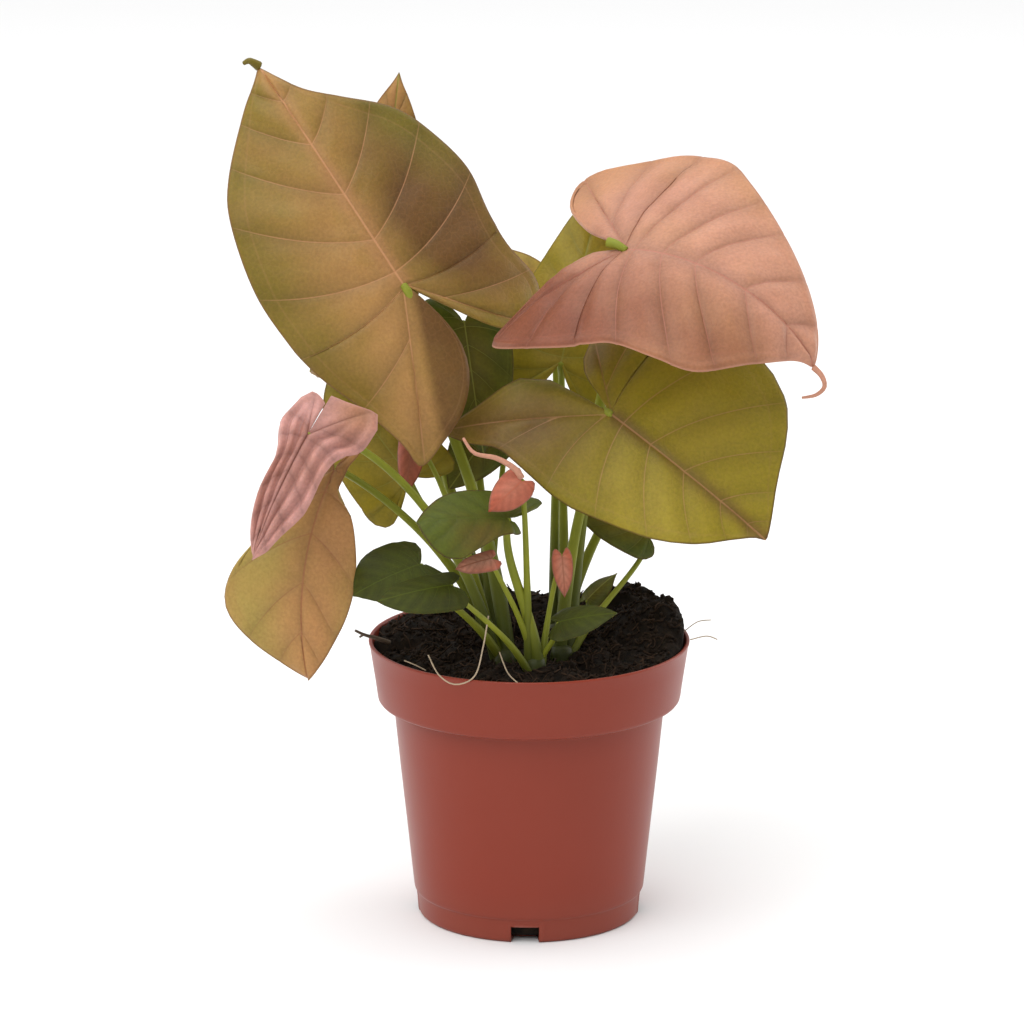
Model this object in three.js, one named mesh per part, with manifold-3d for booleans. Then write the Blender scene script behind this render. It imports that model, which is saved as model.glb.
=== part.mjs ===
// Potted arrowhead plant: a tapered nursery pot, its peat, five leafy shoots and their blades.
// Millimetres, +Z up, origin at the centre of the pot's foot. -Y is the front.
import * as THREE from "three";
import { mergeVertices } from "three/addons/utils/BufferGeometryUtils.js";
import Module from "manifold-3d";

const wasm = await Module();
wasm.setup();

// ---------------------------------------------------------------- driving dimensions, mm
const GAP = 0.35; // left between pieces that touch
const POT = {
  height: 106,
  rimRadius: 60,
  bandHeight: 23.2, // the thick collar under the rim
  bandFootRadius: 56.6,
  shoulderRadius: 50.8, // body just under the collar
  ledgeHeight: 9.4, // small step that nests pots
  ledgeRadius: 42.7,
  footRadius: 41.6,
  wall: 1.3,
  lip: 1.5,
  floor: 1.4, // thickness of the flat base
  slotWidth: 10.6,
  slotHeight: 6.2,
  slotReach: 8, // how far a slot runs in from the foot's edge
  slotTurn: -2.2, // degrees from the front
  slotCount: 4,
  segments: 40,
};
const SOIL = {
  crown: 103,
  clearance: 0.5,
  rings: 7,
  spokes: 32,
  roughness: 1.5,
  mound: 5.5,
  bank: 4.5, // how much higher the peat lies along the rim at the rear and the left
  heap: 10, // height of the clump against the rim at the right
};
const BLADE_THICKNESS = 0.8;
const LOBE_VEIN = 0.6; // share of the way to the lobe's tip that its own vein branches
const STALK_SIDES = 6;
const STALK_STEPS = 8;

const rad = THREE.MathUtils.degToRad;
const vec = (p) => new THREE.Vector3(...p);

// ---------------------------------------------------------------- leaf outlines
// Half outlines from the notch where the stalk joins round the basal lobe to the tip. Across, 1 is
// the half width. Along, 1 is the tip and -1 the end of the basal lobe.
const OUTLINES = {
  arrowhead: [
    [0.05, -0.22], [0.14, -0.5], [0.3, -0.88], [0.5, -1], [0.7, -0.8], [0.86, -0.45], [0.97, -0.05],
    [1, 0.17], [0.92, 0.42], [0.69, 0.63], [0.32, 0.8], [0.09, 0.92], [0, 1],
  ],
  // The large blade at the upper left: one long pointed lobe, one short broad one.
  longLobe: [
    [-0.06, -0.12], [-0.13, -0.33], [-0.15, -0.52], [-0.08, -0.7], [0.12, -0.86], [0.4, -0.95], [0.65, -1],
    [0.68, -0.82], [0.8, -0.5], [0.93, -0.22], [1, 0.05], [1, 0.28], [0.86, 0.545], [0.68, 0.69],
    [0.32, 0.865], [0.1, 0.95], [0, 1],
  ],
  broadLobe: [
    [0.06, -0.13], [0.2, -0.4], [0.45, -0.84], [0.68, -1.02], [0.9, -0.9], [0.975, -0.65], [0.92, -0.25],
    [0.93, 0.03], [1, 0.25], [0.9, 0.45], [0.74, 0.6], [0.41, 0.73], [0.2, 0.82], [0.08, 0.915], [0, 1],
  ],
  // The blade at the upper right is widest across its lobes.
  roof: [
    [0.05, -0.2], [0.22, -0.62], [0.5, -1.04], [0.86, -1.2], [1.02, -0.94], [1.06, -0.48], [1.04, -0.1],
    [1, 0.12], [0.85, 0.28], [0.67, 0.45], [0.48, 0.62], [0.28, 0.79], [0.12, 0.92], [0, 1],
  ],
  // Its lower half closes over the notch.
  closedLobe: [
    [-0.05, -0.16], [-0.08, -0.3], [-0.03, -0.42], [0.125, -0.55], [0.29, -0.77], [0.44, -1], [0.6, -0.82],
    [0.79, -0.45], [0.89, -0.05], [0.85, 0.17], [0.86, 0.42], [0.79, 0.63], [0.42, 0.8], [0.12, 0.92],
    [0, 1],
  ],
  // A lobe wider than the blade ahead of it.
  wideLobe: [
    [0.06, -0.3], [0.2, -0.75], [0.45, -1], [0.8, -0.95], [1, -0.5], [0.98, -0.05], [0.85, 0.2],
    [0.62, 0.42], [0.45, 0.6], [0.28, 0.78], [0.1, 0.93], [0, 1],
  ],
  // The crumpled blade at the left, its two halves.
  hoodRight: [
    [0.03, -0.84], [0.3, -0.88], [0.75, -1], [1, -0.89], [1, -0.47], [0.89, -0.12], [0.64, 0.1],
    [0.59, 0.23], [0.59, 0.38], [0.55, 0.54], [0.32, 0.76], [0.2, 0.9], [0, 1],
  ],
  hoodLeft: [
    [0.04, -0.86], [0.22, -0.95], [0.45, -1], [0.75, -0.92], [1, -0.49], [1.02, -0.05], [0.72, 0.16],
    [0.65, 0.24], [0.66, 0.49], [0.44, 0.72], [0.16, 0.92], [0, 1],
  ],
  // The blade at the right: square shouldered above, drawn out into a long lobe below.
  shoulder: [
    [0.05, -0.3], [0.1, -0.6], [0.2, -0.88], [0.4, -1], [0.7, -0.85], [0.9, -0.4], [1, 0.12],
    [1, 0.4], [0.88, 0.62], [0.68, 0.75], [0.38, 0.86], [0.1, 0.97], [0, 1],
  ],
  drawnLobe: [
    [0.01, -0.15], [0.04, -0.38], [0.12, -0.64], [0.35, -0.78], [0.7, -0.9], [1, -1], [0.98, -0.78],
    [0.86, -0.53], [0.88, -0.2], [0.89, 0.08], [0.8, 0.3], [0.66, 0.55], [0.45, 0.74], [0.2, 0.87],
    [0.05, 0.95], [0, 1],
  ],
  heart: [
    [0.06, -0.24], [0.19, -0.55], [0.42, -0.93], [0.65, -1], [0.86, -0.7], [0.98, -0.2], [1, 0.12],
    [0.93, 0.4], [0.72, 0.65], [0.38, 0.85], [0.12, 0.96], [0, 1],
  ],
  spear: [
    [0.2, -0.5], [0.38, -0.85], [0.58, -1], [0.8, -0.75], [0.95, -0.1], [1, 0.18],
    [0.92, 0.42], [0.7, 0.65], [0.36, 0.84], [0.1, 0.95], [0, 1],
  ],
  // The hanging blade at the lower left, its two halves, narrow below the joint.
  neckRight: [
    [0.14, -0.5], [0.3, -0.85], [0.42, -1], [0.42, -0.7], [0.28, -0.2], [0.24, 0.04], [0.28, 0.12],
    [0.68, 0.22], [0.93, 0.38], [1, 0.53], [0.86, 0.69], [0.51, 0.85], [0.2, 0.95], [0, 1],
  ],
  neckLeft: [
    [0.1, -0.5], [0.23, -0.85], [0.34, -1], [0.36, -0.7], [0.24, -0.3], [0.12, -0.05], [0.13, 0.07],
    [0.32, 0.14], [0.5, 0.24], [0.7, 0.38], [0.93, 0.52], [1.03, 0.66], [0.95, 0.76], [0.67, 0.86],
    [0.32, 0.94], [0.12, 0.98], [0, 1],
  ],
  // A blade widest near its tip.
  narrowDrop: [
    [0.1, -0.5], [0.22, -0.85], [0.34, -1], [0.4, -0.6], [0.42, 0.02], [0.6, 0.25], [0.85, 0.48],
    [1, 0.64], [0.9, 0.8], [0.62, 0.91], [0.28, 0.975], [0, 1],
  ],
};

// ---------------------------------------------------------------- leaves
// joint: where the stalk meets the blade. tip: the end of the blade. face: the way the upper face
// looks. width: half widths, left and right, seen with the tip away from you. lobe: how far each
// basal lobe reaches back. spread: sideways throw of the lobes, in half widths. arch: degrees the
// midrib turns down over its length, hook: extra degrees near the tip. lobeArch: the same for the
// lobes. fold: degrees each half drops from the midrib, cup: extra degrees by the margin. tuck:
// degrees the inner part of each lobe folds under. bow: sideways bend of the midrib, mm. wave: [height
// mm, count, phase in turns] of the margin. grid: rows in the lobes, rows ahead of the joint, columns.
const LEAVES = [
  { name: "leaf_upper_left", outline: ["longLobe", "broadLobe"], colour: 0xa98550, joint: [-46, -26, 247],
    tip: [-99, 8, 321], face: [-0.1, -0.85, 0.45], width: [47, 50], lobe: [60, 40], spread: [0, 0],
    arch: 14, hook: 25, lobeArch: 12, fold: [2, 18], cup: [8, 18], tuck: [50, 6], wave: [1.2, 3, 0.1],
    grid: [6, 8, 4] },
  { name: "leaf_upper_right", outline: ["roof", "closedLobe"], colour: 0xc98d76, joint: [35, -27, 260],
    tip: [102, -52, 222], face: [0.3, -0.62, 0.73], width: [58, 49], lobe: [49, 47], spread: [0.1, 0.35],
    arch: 76, hook: 20, lobeArch: 10, fold: [-2, 6], cup: [6, 22], tuck: [20, 10], wave: [1.2, 3, 0.4],
    grid: [6, 8, 4] },
  { name: "leaf_right", outline: ["shoulder", "drawnLobe"], colour: 0x857a2c, joint: [30, -25, 198],
    tip: [86, -42, 155], face: [0.1, -0.9, 0.4], width: [53, 41], lobe: [26, 50], spread: [0, 0],
    arch: 16, hook: 10, lobeArch: 12, fold: [4, 6], cup: [8, 10], tuck: [0, 30], wave: [1.2, 3, 0.2],
    grid: [6, 8, 4] },
  { name: "leaf_lower_left", outline: ["neckRight", "neckLeft"], colour: 0xb08a55, joint: [-71, -35, 180],
    tip: [-81, -46, 103], face: [-0.1, -1, 0.1], width: [19, 29], lobe: [10, 12], spread: [0, 0],
    arch: 20, hook: 10, lobeArch: 8, fold: [3, 3], cup: [12, 16], tuck: [0, 0], wave: [1, 2, 0.3], bow: 6,
    grid: [4, 8, 3] },
  { name: "leaf_folded_left", outline: ["hoodRight", "hoodLeft"], colour: 0xb88a84, joint: [-80, -57, 198],
    tip: [-100, -66, 154], face: [-0.25, -0.85, 0.45], width: [21, 13.5], lobe: [20, 16], spread: [0, 0],
    arch: 24, hook: 10, lobeArch: 8, fold: [6, 8], cup: [26, 20], tuck: [0, 0], wave: [1, 3, 0.2],
    grid: [4, 8, 3] },
  { name: "leaf_back_left", outline: ["spear", "spear"], colour: 0xa28a48, joint: [-57, 18, 238],
    tip: [-48, 24, 316], face: [0, -1, 0.25], width: [20, 18], lobe: [14, 14], spread: [0, 0],
    arch: 10, hook: 0, lobeArch: 10, fold: [6, 6], cup: [10, 10], tuck: [0, 0], wave: [0.8, 2, 0] },
  { name: "leaf_centre_back", outline: ["wideLobe", "arrowhead"], colour: 0x8f8a35, joint: [12, 22, 207],
    tip: [28, 49, 270], face: [-0.1, -0.95, 0.35], width: [30, 22], lobe: [18, 16], spread: [0.1, 0.1],
    arch: 14, hook: 10, lobeArch: 14, fold: [6, 6], cup: [10, 10], tuck: [0, 0], wave: [1, 3, 0.6] },
  { name: "leaf_far_back", outline: ["heart", "heart"], colour: 0x9a9048, joint: [8, 50, 217],
    tip: [-14, 60, 243], face: [-0.1, -0.95, 0.35], width: [13, 13], lobe: [9, 9], spread: [0.1, 0.1],
    arch: 14, hook: 10, lobeArch: 14, fold: [6, 6], cup: [10, 10], tuck: [0, 0], wave: [1, 3, 0.6] },
  { name: "leaf_middle_green", outline: ["heart", "heart"], colour: 0x5b6a1f, joint: [-24, 11, 224],
    tip: [-17, 3, 176], face: [0, -1, 0.2], width: [17, 17], lobe: [12, 12], spread: [0.1, 0.1],
    arch: 14, hook: 10, lobeArch: 14, fold: [6, 6], cup: [10, 10], tuck: [0, 0], wave: [1, 3, 0.6] },
  { name: "leaf_left_green", outline: ["heart", "heart"], colour: 0x7a8230, joint: [-45, -4, 170],
    tip: [-74, 10, 206], face: [-0.1, -0.95, 0.3], width: [22, 17], lobe: [12, 10], spread: [0.2, 0.2],
    arch: 14, hook: 10, lobeArch: 14, fold: [6, 6], cup: [10, 10], tuck: [0, 0], wave: [1, 3, 0.6] },
  { name: "leaf_inner_dark", outline: ["heart", "heart"], colour: 0x3d4a16, joint: [-10, 16, 188],
    tip: [-30, 9, 161], face: [0.1, -0.9, 0.5], width: [12, 13], lobe: [7, 7], spread: [0, 0],
    arch: 12, hook: 0, lobeArch: 10, fold: [8, 8], cup: [10, 10], tuck: [0, 0], wave: [0.6, 2, 0],
    grid: [4, 5, 3] },
  { name: "leaf_front_low", outline: ["narrowDrop", "heart"], colour: 0x5f7030, joint: [-8, -45, 164],
    tip: [-41, -62, 167], face: [-0.15, -0.75, 0.65], width: [16, 15], lobe: [5, 20], spread: [0, 0.1],
    arch: 16, hook: 5, lobeArch: 4, fold: [4, 8], cup: [8, 14], tuck: [0, 0], wave: [0.5, 2, 0.3],
    grid: [4, 7, 3] },
  { name: "leaf_low_left", outline: ["heart", "heart"], colour: 0x4d5a20, joint: [-40, -46, 147],
    tip: [-64, -57, 138], face: [-0.25, -0.65, 0.7], width: [17, 20], lobe: [7, 7], spread: [0.1, 0.1],
    arch: 18, hook: 10, lobeArch: 10, fold: [-6, 10], cup: [6, 16], tuck: [0, 0], wave: [0.6, 2, 0.3],
    grid: [4, 7, 3] },
  { name: "leaf_right_dark", outline: ["heart", "heart"], colour: 0x3f4c18, joint: [44, 12, 143],
    tip: [15, 15, 156], face: [-0.1, -0.9, 0.5], width: [10, 12], lobe: [6, 6], spread: [0, 0],
    arch: 10, hook: 0, lobeArch: 10, fold: [6, 6], cup: [10, 10], tuck: [0, 0], wave: [0.6, 2, 0],
    grid: [4, 5, 3] },
  { name: "leaf_small_front", outline: ["heart", "heart"], colour: 0x4f6a2a, joint: [11, -38, 123],
    tip: [32, -44, 128], face: [0, -0.55, 0.85], width: [8, 8], lobe: [5, 5], spread: [0, 0],
    arch: 14, hook: 0, lobeArch: 8, fold: [8, 8], cup: [12, 12], tuck: [0, 0], wave: [0.4, 2, 0],
    grid: [2, 5, 2] },
  { name: "leaf_small_left", outline: ["heart", "heart"], colour: 0x54702c, joint: [-29, -60, 143],
    tip: [-55, -68, 139], face: [-0.2, -0.6, 0.8], width: [11, 9], lobe: [6, 6], spread: [0, 0],
    arch: 14, hook: 0, lobeArch: 8, fold: [8, 8], cup: [12, 12], tuck: [0, 0], wave: [0.4, 2, 0],
    grid: [2, 5, 2] },
  { name: "leaf_small_right", outline: ["spear", "spear"], colour: 0x5a7a30, joint: [22, 4, 120],
    tip: [33, 8, 129], face: [-0.3, -0.6, 0.75], width: [5, 5], lobe: [3.5, 3.5], spread: [0, 0],
    arch: 20, hook: 0, lobeArch: 8, fold: [8, 8], cup: [20, 20], tuck: [0, 0], wave: [0.6, 2, 0],
    grid: [2, 4, 2] },
  { name: "leaf_rear_left", outline: ["arrowhead", "arrowhead"], colour: 0xa08048, joint: [-42, 42, 196],
    tip: [-84, 78, 190], face: [-0.35, 0.5, 0.85], width: [32, 32], lobe: [21, 21], spread: [0.15, 0.15],
    arch: 40, hook: 15, lobeArch: 14, fold: [8, 8], cup: [14, 14], tuck: [10, 10], wave: [1, 3, 0.2] },
  { name: "leaf_rear_right", outline: ["arrowhead", "arrowhead"], colour: 0x8b7c34, joint: [41, 40, 184],
    tip: [76, 84, 172], face: [0.3, 0.5, 0.85], width: [33, 33], lobe: [24, 24], spread: [0.15, 0.15],
    arch: 42, hook: 15, lobeArch: 14, fold: [8, 8], cup: [14, 14], tuck: [10, 10], wave: [1, 3, 0.7] },
  { name: "young_coral", outline: ["spear", "spear"], colour: 0xc05f4b, joint: [-3, -49, 179],
    tip: [-15, -51, 168], face: [0.3, -0.85, 0.4], width: [8, 7], lobe: [4, 4], spread: [0, 0],
    arch: 30, hook: 0, lobeArch: 20, fold: [8, 8], cup: [40, 40], tuck: [0, 0], wave: [0.6, 2, 0],
    grid: [2, 5, 2] },
  { name: "young_pink", outline: ["spear", "spear"], colour: 0xb8755c, joint: [-43, -22, 189],
    tip: [-45, -24, 168], face: [-0.2, -0.95, 0.2], width: [6, 6], lobe: [4, 4], spread: [0, 0],
    arch: 20, hook: 0, lobeArch: 20, fold: [8, 8], cup: [30, 30], tuck: [0, 0], wave: [0.6, 2, 0],
    grid: [2, 5, 2] },
  { name: "young_rose", outline: ["spear", "spear"], colour: 0xc07a6a, joint: [12, -28, 145],
    tip: [13, -30, 130], face: [0.1, -0.95, 0.2], width: [4, 4], lobe: [3.5, 3.5], spread: [0, 0],
    arch: 20, hook: 0, lobeArch: 20, fold: [4, 4], cup: [20, 20], tuck: [0, 0], wave: [0.4, 2, 0],
    grid: [2, 4, 2] },
  { name: "dried_bract", outline: ["spear", "spear"], colour: 0xc58a7a, joint: [-14, -49, 150],
    tip: [-27, -53, 147], face: [-0.1, -0.8, 0.6], width: [5, 4], lobe: [3.5, 3.5], spread: [0, 0],
    arch: 20, hook: 0, lobeArch: 20, fold: [4, 4], cup: [14, 14], tuck: [0, 0], wave: [0.8, 2, 0],
    grid: [2, 4, 2] },
];

// Leafy shoots. at: where the shoot stands in the peat, mm. bears: the blades it carries, each with
// how far its stalk leans back under the blade, the stalk's radius at the bottom and the top, and how
// far the stalk's middle is pushed back, to pass behind another blade, and up, to arch over.
const SHOOTS = [
  { name: "shoot_left", at: [-9, -25], bears: {
    leaf_upper_left: [80, 2.6, 1.5, 9], leaf_folded_left: [36, 1.8, 1.1, 0, 20],
    leaf_left_green: [30, 1.6, 1], leaf_low_left: [18, 1.5, 1], young_pink: [20, 1.2, 0.8] } },
  { name: "shoot_front", at: [2, -34], bears: {
    leaf_front_low: [26, 2.2, 1.3], leaf_small_front: [8, 1.2, 0.8], leaf_small_left: [8, 1.2, 0.8],
    dried_bract: [10, 1.2, 0.8], young_coral: [16, 1.4, 0.9], young_rose: [10, 1.2, 0.8] } },
  { name: "shoot_right", at: [12, -20], bears: {
    leaf_upper_right: [44, 2.6, 1.5, 43], leaf_right: [40, 2.4, 1.4], leaf_right_dark: [20, 1.3, 0.9],
    leaf_small_right: [8, 1.1, 0.8] } },
  { name: "shoot_back_left", at: [-14, 2], bears: {
    leaf_lower_left: [36, 1.8, 1.1, 0, 6], leaf_back_left: [18, 2, 1.2], leaf_middle_green: [40, 1.8, 1.1],
    leaf_rear_left: [36, 2.2, 1.3], leaf_inner_dark: [20, 1.4, 0.9] } },
  { name: "shoot_back_right", at: [11, 10], bears: {
    leaf_centre_back: [40, 2, 1.2], leaf_far_back: [26, 1.8, 1.1], leaf_rear_right: [36, 2.2, 1.3] } },
];

// ---------------------------------------------------------------- solids
// A closed geometry as a manifold-3d solid.
function solidOf(geometry) {
  const bare = new THREE.BufferGeometry().setAttribute("position", geometry.getAttribute("position"));
  bare.setIndex(geometry.getIndex());
  const merged = mergeVertices(bare, 1e-4);
  return new wasm.Manifold(
    new wasm.Mesh({
      numProp: 3,
      vertProperties: new Float32Array(merged.getAttribute("position").array),
      triVerts: new Uint32Array(merged.getIndex().array),
    }),
  );
}

// A manifold-3d solid as a geometry with flat faces.
function geometryOf(solid) {
  const mesh = solid.getMesh();
  const geometry = new THREE.BufferGeometry()
    .setAttribute("position", new THREE.BufferAttribute(new Float32Array(mesh.vertProperties), 3))
    .setIndex(new THREE.BufferAttribute(new Uint32Array(mesh.triVerts), 1))
    .toNonIndexed();
  geometry.computeVertexNormals();
  return geometry;
}

// A geometry from a list of points and a list of triangles.
function geometryFrom(points, triangles) {
  return new THREE.BufferGeometry()
    .setAttribute("position", new THREE.Float32BufferAttribute(points.flatMap((p) => [p.x, p.y, p.z]), 3))
    .setIndex(triangles.flat());
}

// ---------------------------------------------------------------- leaf surface
// The half outline as points spaced evenly along its length.
function marginPoints(name, count) {
  const curve = new THREE.SplineCurve(OUTLINES[name].map(([x, y]) => new THREE.Vector2(x, y)));
  return curve.getSpacedPoints(count);
}

// The midrib's frame: it runs from the joint to the tip, turning down by arch degrees in all.
function midribFrame(leaf) {
  const steps = 40;
  const turn = (s) => -rad(leaf.arch) * s - rad(leaf.hook ?? 0) * s ** 7;
  const profile = [[0, 0]];
  for (let i = 0; i < steps; i++) {
    const [along, up] = profile[i];
    const angle = turn((i + 0.5) / steps);
    profile.push([along + Math.cos(angle) / steps, up + Math.sin(angle) / steps]);
  }
  const end = profile[steps];
  const tilt = Math.atan2(end[1], end[0]);
  const joint = vec(leaf.joint);
  const chord = vec(leaf.tip).sub(joint);
  const length = chord.length() / Math.hypot(...end);
  const forward = chord.clone().normalize();
  const up = vec(leaf.face).addScaledVector(forward, -vec(leaf.face).dot(forward)).normalize();
  const right = forward.clone().cross(up);
  return { steps, turn, profile, tilt, joint, length, forward, up, right };
}

// Point, along-midrib direction and upward direction at a share s of the length, below 0 in the lobes.
function midribAt(leaf, frame, s, lobe) {
  let along;
  let up;
  let angle;
  if (s >= 0) {
    const place = Math.min(s, 1) * frame.steps;
    const i = Math.min(Math.floor(place), frame.steps - 1);
    const [a, b] = [frame.profile[i], frame.profile[i + 1]];
    along = (a[0] + (b[0] - a[0]) * (place - i)) * frame.length;
    up = (a[1] + (b[1] - a[1]) * (place - i)) * frame.length;
    angle = frame.turn(s);
  } else {
    const bend = rad(leaf.lobeArch) / lobe;
    const back = s * lobe;
    angle = -bend * back;
    along = Math.sin(-angle) / bend;
    up = -(1 - Math.cos(angle)) / bend;
  }
  const turned = (x, z, t) => [x * Math.cos(t) - z * Math.sin(t), x * Math.sin(t) + z * Math.cos(t)];
  const [px, pz] = turned(along, up, -frame.tilt);
  const [ux, uz] = turned(0, 1, angle - frame.tilt);
  const bow = s > 0 ? (leaf.bow ?? 0) * 4 * s * (1 - s) : 0;
  const point = frame.joint.clone().addScaledVector(frame.forward, px).addScaledVector(frame.up, pz)
    .addScaledVector(frame.right, bow);
  const raised = new THREE.Vector3().addScaledVector(frame.forward, ux).addScaledVector(frame.up, uz);
  return { point, raised };
}

// Places a flat point of one half, x across and y along, on the bent blade.
function bentPoint(leaf, frame, half, x, y, lift) {
  const width = leaf.width[half];
  const lobe = leaf.lobe[half];
  const s = y >= 0 ? y / frame.length : y / lobe;
  const { point, raised } = midribAt(leaf, frame, s, lobe);
  const fold = rad(leaf.fold[half]);
  const cup = rad(leaf.cup[half]) / width;
  const flat = Math.abs(cup) < 1e-6;
  const out = flat ? x * Math.cos(fold) : (Math.sin(fold + cup * x) - Math.sin(fold)) / cup;
  const drop = flat ? x * Math.sin(fold) : -(Math.cos(fold + cup * x) - Math.cos(fold)) / cup;
  return point.addScaledVector(frame.right, half ? out : -out).addScaledVector(raised, lift - drop);
}

// A point of the blade's middle surface. run goes along the margin: -1 at the notch, 0 beside the
// joint, 1 at the tip. v goes from the vein the row starts on to the margin. Rows ahead of the joint
// start on the midrib. Rows in a lobe start on its own vein, going out along it and back.
function bladePoint(leaf, frame, margin, half, run, v) {
  const width = leaf.width[half];
  const lobe = leaf.lobe[half];
  const last = margin.length - 1;
  const lobeTip = margin.indexOf(margin.reduce((a, b) => (b.y < a.y ? b : a))) / last;
  const beside = margin.findLastIndex((point) => point.y < 0) / last;
  let u = beside + (1 - beside) * run;
  if (run < 0) u = beside + (beside - lobeTip) * 2 * run;
  if (run < -0.5) u = lobeTip * 2 * (1 + run);
  const edgeAt = (share) => {
    const i = Math.min(Math.floor(share * last), last - 1);
    const edge = margin[i].clone().lerp(margin[i + 1], share * last - i);
    const x = (edge.x + leaf.spread[half] * Math.max(0, -edge.y)) * width;
    return new THREE.Vector2(x, edge.y * (edge.y >= 0 ? frame.length : lobe));
  };
  const edge = edgeAt(u);
  const root = new THREE.Vector2(0, Math.max(0, run) ** 1.6 * frame.length);
  if (run < 0) root.copy(edgeAt(lobeTip)).multiplyScalar(LOBE_VEIN * (1 - Math.abs(2 * run + 1)));
  const sag = 0.07 * Math.min(1, Math.max(0, 2 * run + 1)) * edge.distanceTo(root);
  let x = root.x + (edge.x - root.x) * v;
  let y = root.y + (edge.y - root.y) * v - sag * 4 * v * (1 - v);
  let lift = leaf.wave[0] * v * v * Math.sin(2 * Math.PI * (leaf.wave[1] * u + leaf.wave[2] + 0.5 * half));
  // The inner part of the lobe turns under along the lobe's own vein.
  const veinX = (0.5 + leaf.spread[half]) * width;
  const veinLength = Math.hypot(veinX, lobe);
  const inside = (-y * veinX - x * lobe) / veinLength;
  const tuck = rad(leaf.tuck[half]);
  if (y < 0 && inside > 0 && tuck) {
    const bend = tuck / (0.6 * width);
    const shift = inside - Math.sin(bend * inside) / bend;
    x += (shift * lobe) / veinLength;
    y += (shift * veinX) / veinLength;
    lift -= (1 - Math.cos(bend * inside)) / bend;
  }
  return bentPoint(leaf, frame, half, x, y, lift);
}

// The blade as a closed plate: one grid of points for both halves, set off up and down along its normals.
function bladeGeometry(leaf, thickness = BLADE_THICKNESS) {
  const [lobeRows, bladeRows, columns] = leaf.grid ?? [6, 7, 3];
  const rows = lobeRows + bladeRows;
  const frame = midribFrame(leaf);
  const margins = leaf.outline.map((name) => marginPoints(name, 60));
  const middle = [];
  const place = (half, i, j) => {
    const run = i < lobeRows ? i / lobeRows - 1 : (i - lobeRows) / bladeRows;
    return middle.push(bladePoint(leaf, frame, margins[half], half, run, j / columns)) - 1;
  };
  const joint = place(1, 0, 0);
  const tip = place(1, rows, 0);
  const midrib = [];
  for (let i = lobeRows + 1; i < rows; i++) midrib[i] = place(1, i, 0);
  const grid = [0, 1].map((half) => {
    const lines = [];
    for (let i = 0; i < rows; i++) {
      lines.push([i > lobeRows ? midrib[i] : joint]);
      if (i > 0 && i < lobeRows) lines[i][0] = i > lobeRows / 2 ? lines[lobeRows - i][0] : place(half, i, 0);
      for (let j = 1; j <= columns; j++) lines[i].push(place(half, i, j));
    }
    lines.push(new Array(columns + 1).fill(tip));
    return lines;
  });
  const top = [];
  const face = (a, b, c, half) => {
    if (a !== b && b !== c && c !== a) top.push(half ? [a, b, c] : [a, c, b]);
  };
  grid.forEach((lines, half) => {
    for (let i = 0; i < rows; i++)
      for (let j = 0; j < columns; j++) {
        const [a, b, c, d] = [lines[i][j], lines[i][j + 1], lines[i + 1][j + 1], lines[i + 1][j]];
        const back = i >= lobeRows / 2 && i < lobeRows;
        face(a, b, back ? c : d, half);
        face(back ? a : b, c, d, half);
      }
  });
  const normals = middle.map(() => new THREE.Vector3());
  for (const [a, b, c] of top) {
    const n = middle[b].clone().sub(middle[a]).cross(middle[c].clone().sub(middle[a]));
    for (const i of [a, b, c]) normals[i].add(n);
  }
  const points = [];
  for (const side of [0.5, -0.5])
    middle.forEach((p, i) => {
      points.push(p.clone().addScaledVector(normals[i].normalize(), side * thickness));
    });
  const under = middle.length;
  const outside = (lines) => lines.slice(1, rows).map((line) => line[columns]);
  const [left, right] = grid.map((lines) => [...lines[0], ...outside(lines)]);
  const border = [...left.reverse(), ...right.slice(1), tip];
  const start = border.indexOf(joint);
  border.push(...border.splice(0, start));
  const triangles = [...top, ...top.map(([a, b, c]) => [a + under, c + under, b + under])];
  border.forEach((a, i) => {
    const b = border[(i + 1) % border.length];
    triangles.push([a, a + under, b + under], [a, b + under, b]);
  });
  return geometryFrom(points, triangles);
}

// ---------------------------------------------------------------- stalks
// A tapered round bar along a curve, closed at both ends.
function barSolid(curve, radiusAt, steps, sides) {
  const points = [];
  const triangles = [];
  const frames = curve.computeFrenetFrames(steps, false);
  for (let i = 0; i <= steps; i++) {
    const centre = curve.getPointAt(i / steps);
    for (let j = 0; j < sides; j++) {
      const turn = (2 * Math.PI * j) / sides;
      points.push(centre.clone()
        .addScaledVector(frames.normals[i], radiusAt(i / steps) * Math.cos(turn))
        .addScaledVector(frames.binormals[i], radiusAt(i / steps) * Math.sin(turn)));
    }
  }
  for (let i = 0; i < steps; i++)
    for (let j = 0; j < sides; j++) {
      const k = (j + 1) % sides;
      const [a, b, c, d] = [i * sides + j, i * sides + k, (i + 1) * sides + k, (i + 1) * sides + j];
      triangles.push([a, b, c], [a, c, d]);
    }
  for (let j = 1; j < sides - 1; j++) {
    triangles.push([0, j + 1, j]);
    triangles.push([steps * sides, steps * sides + j, steps * sides + j + 1]);
  }
  return solidOf(geometryFrom(points, triangles));
}

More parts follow.
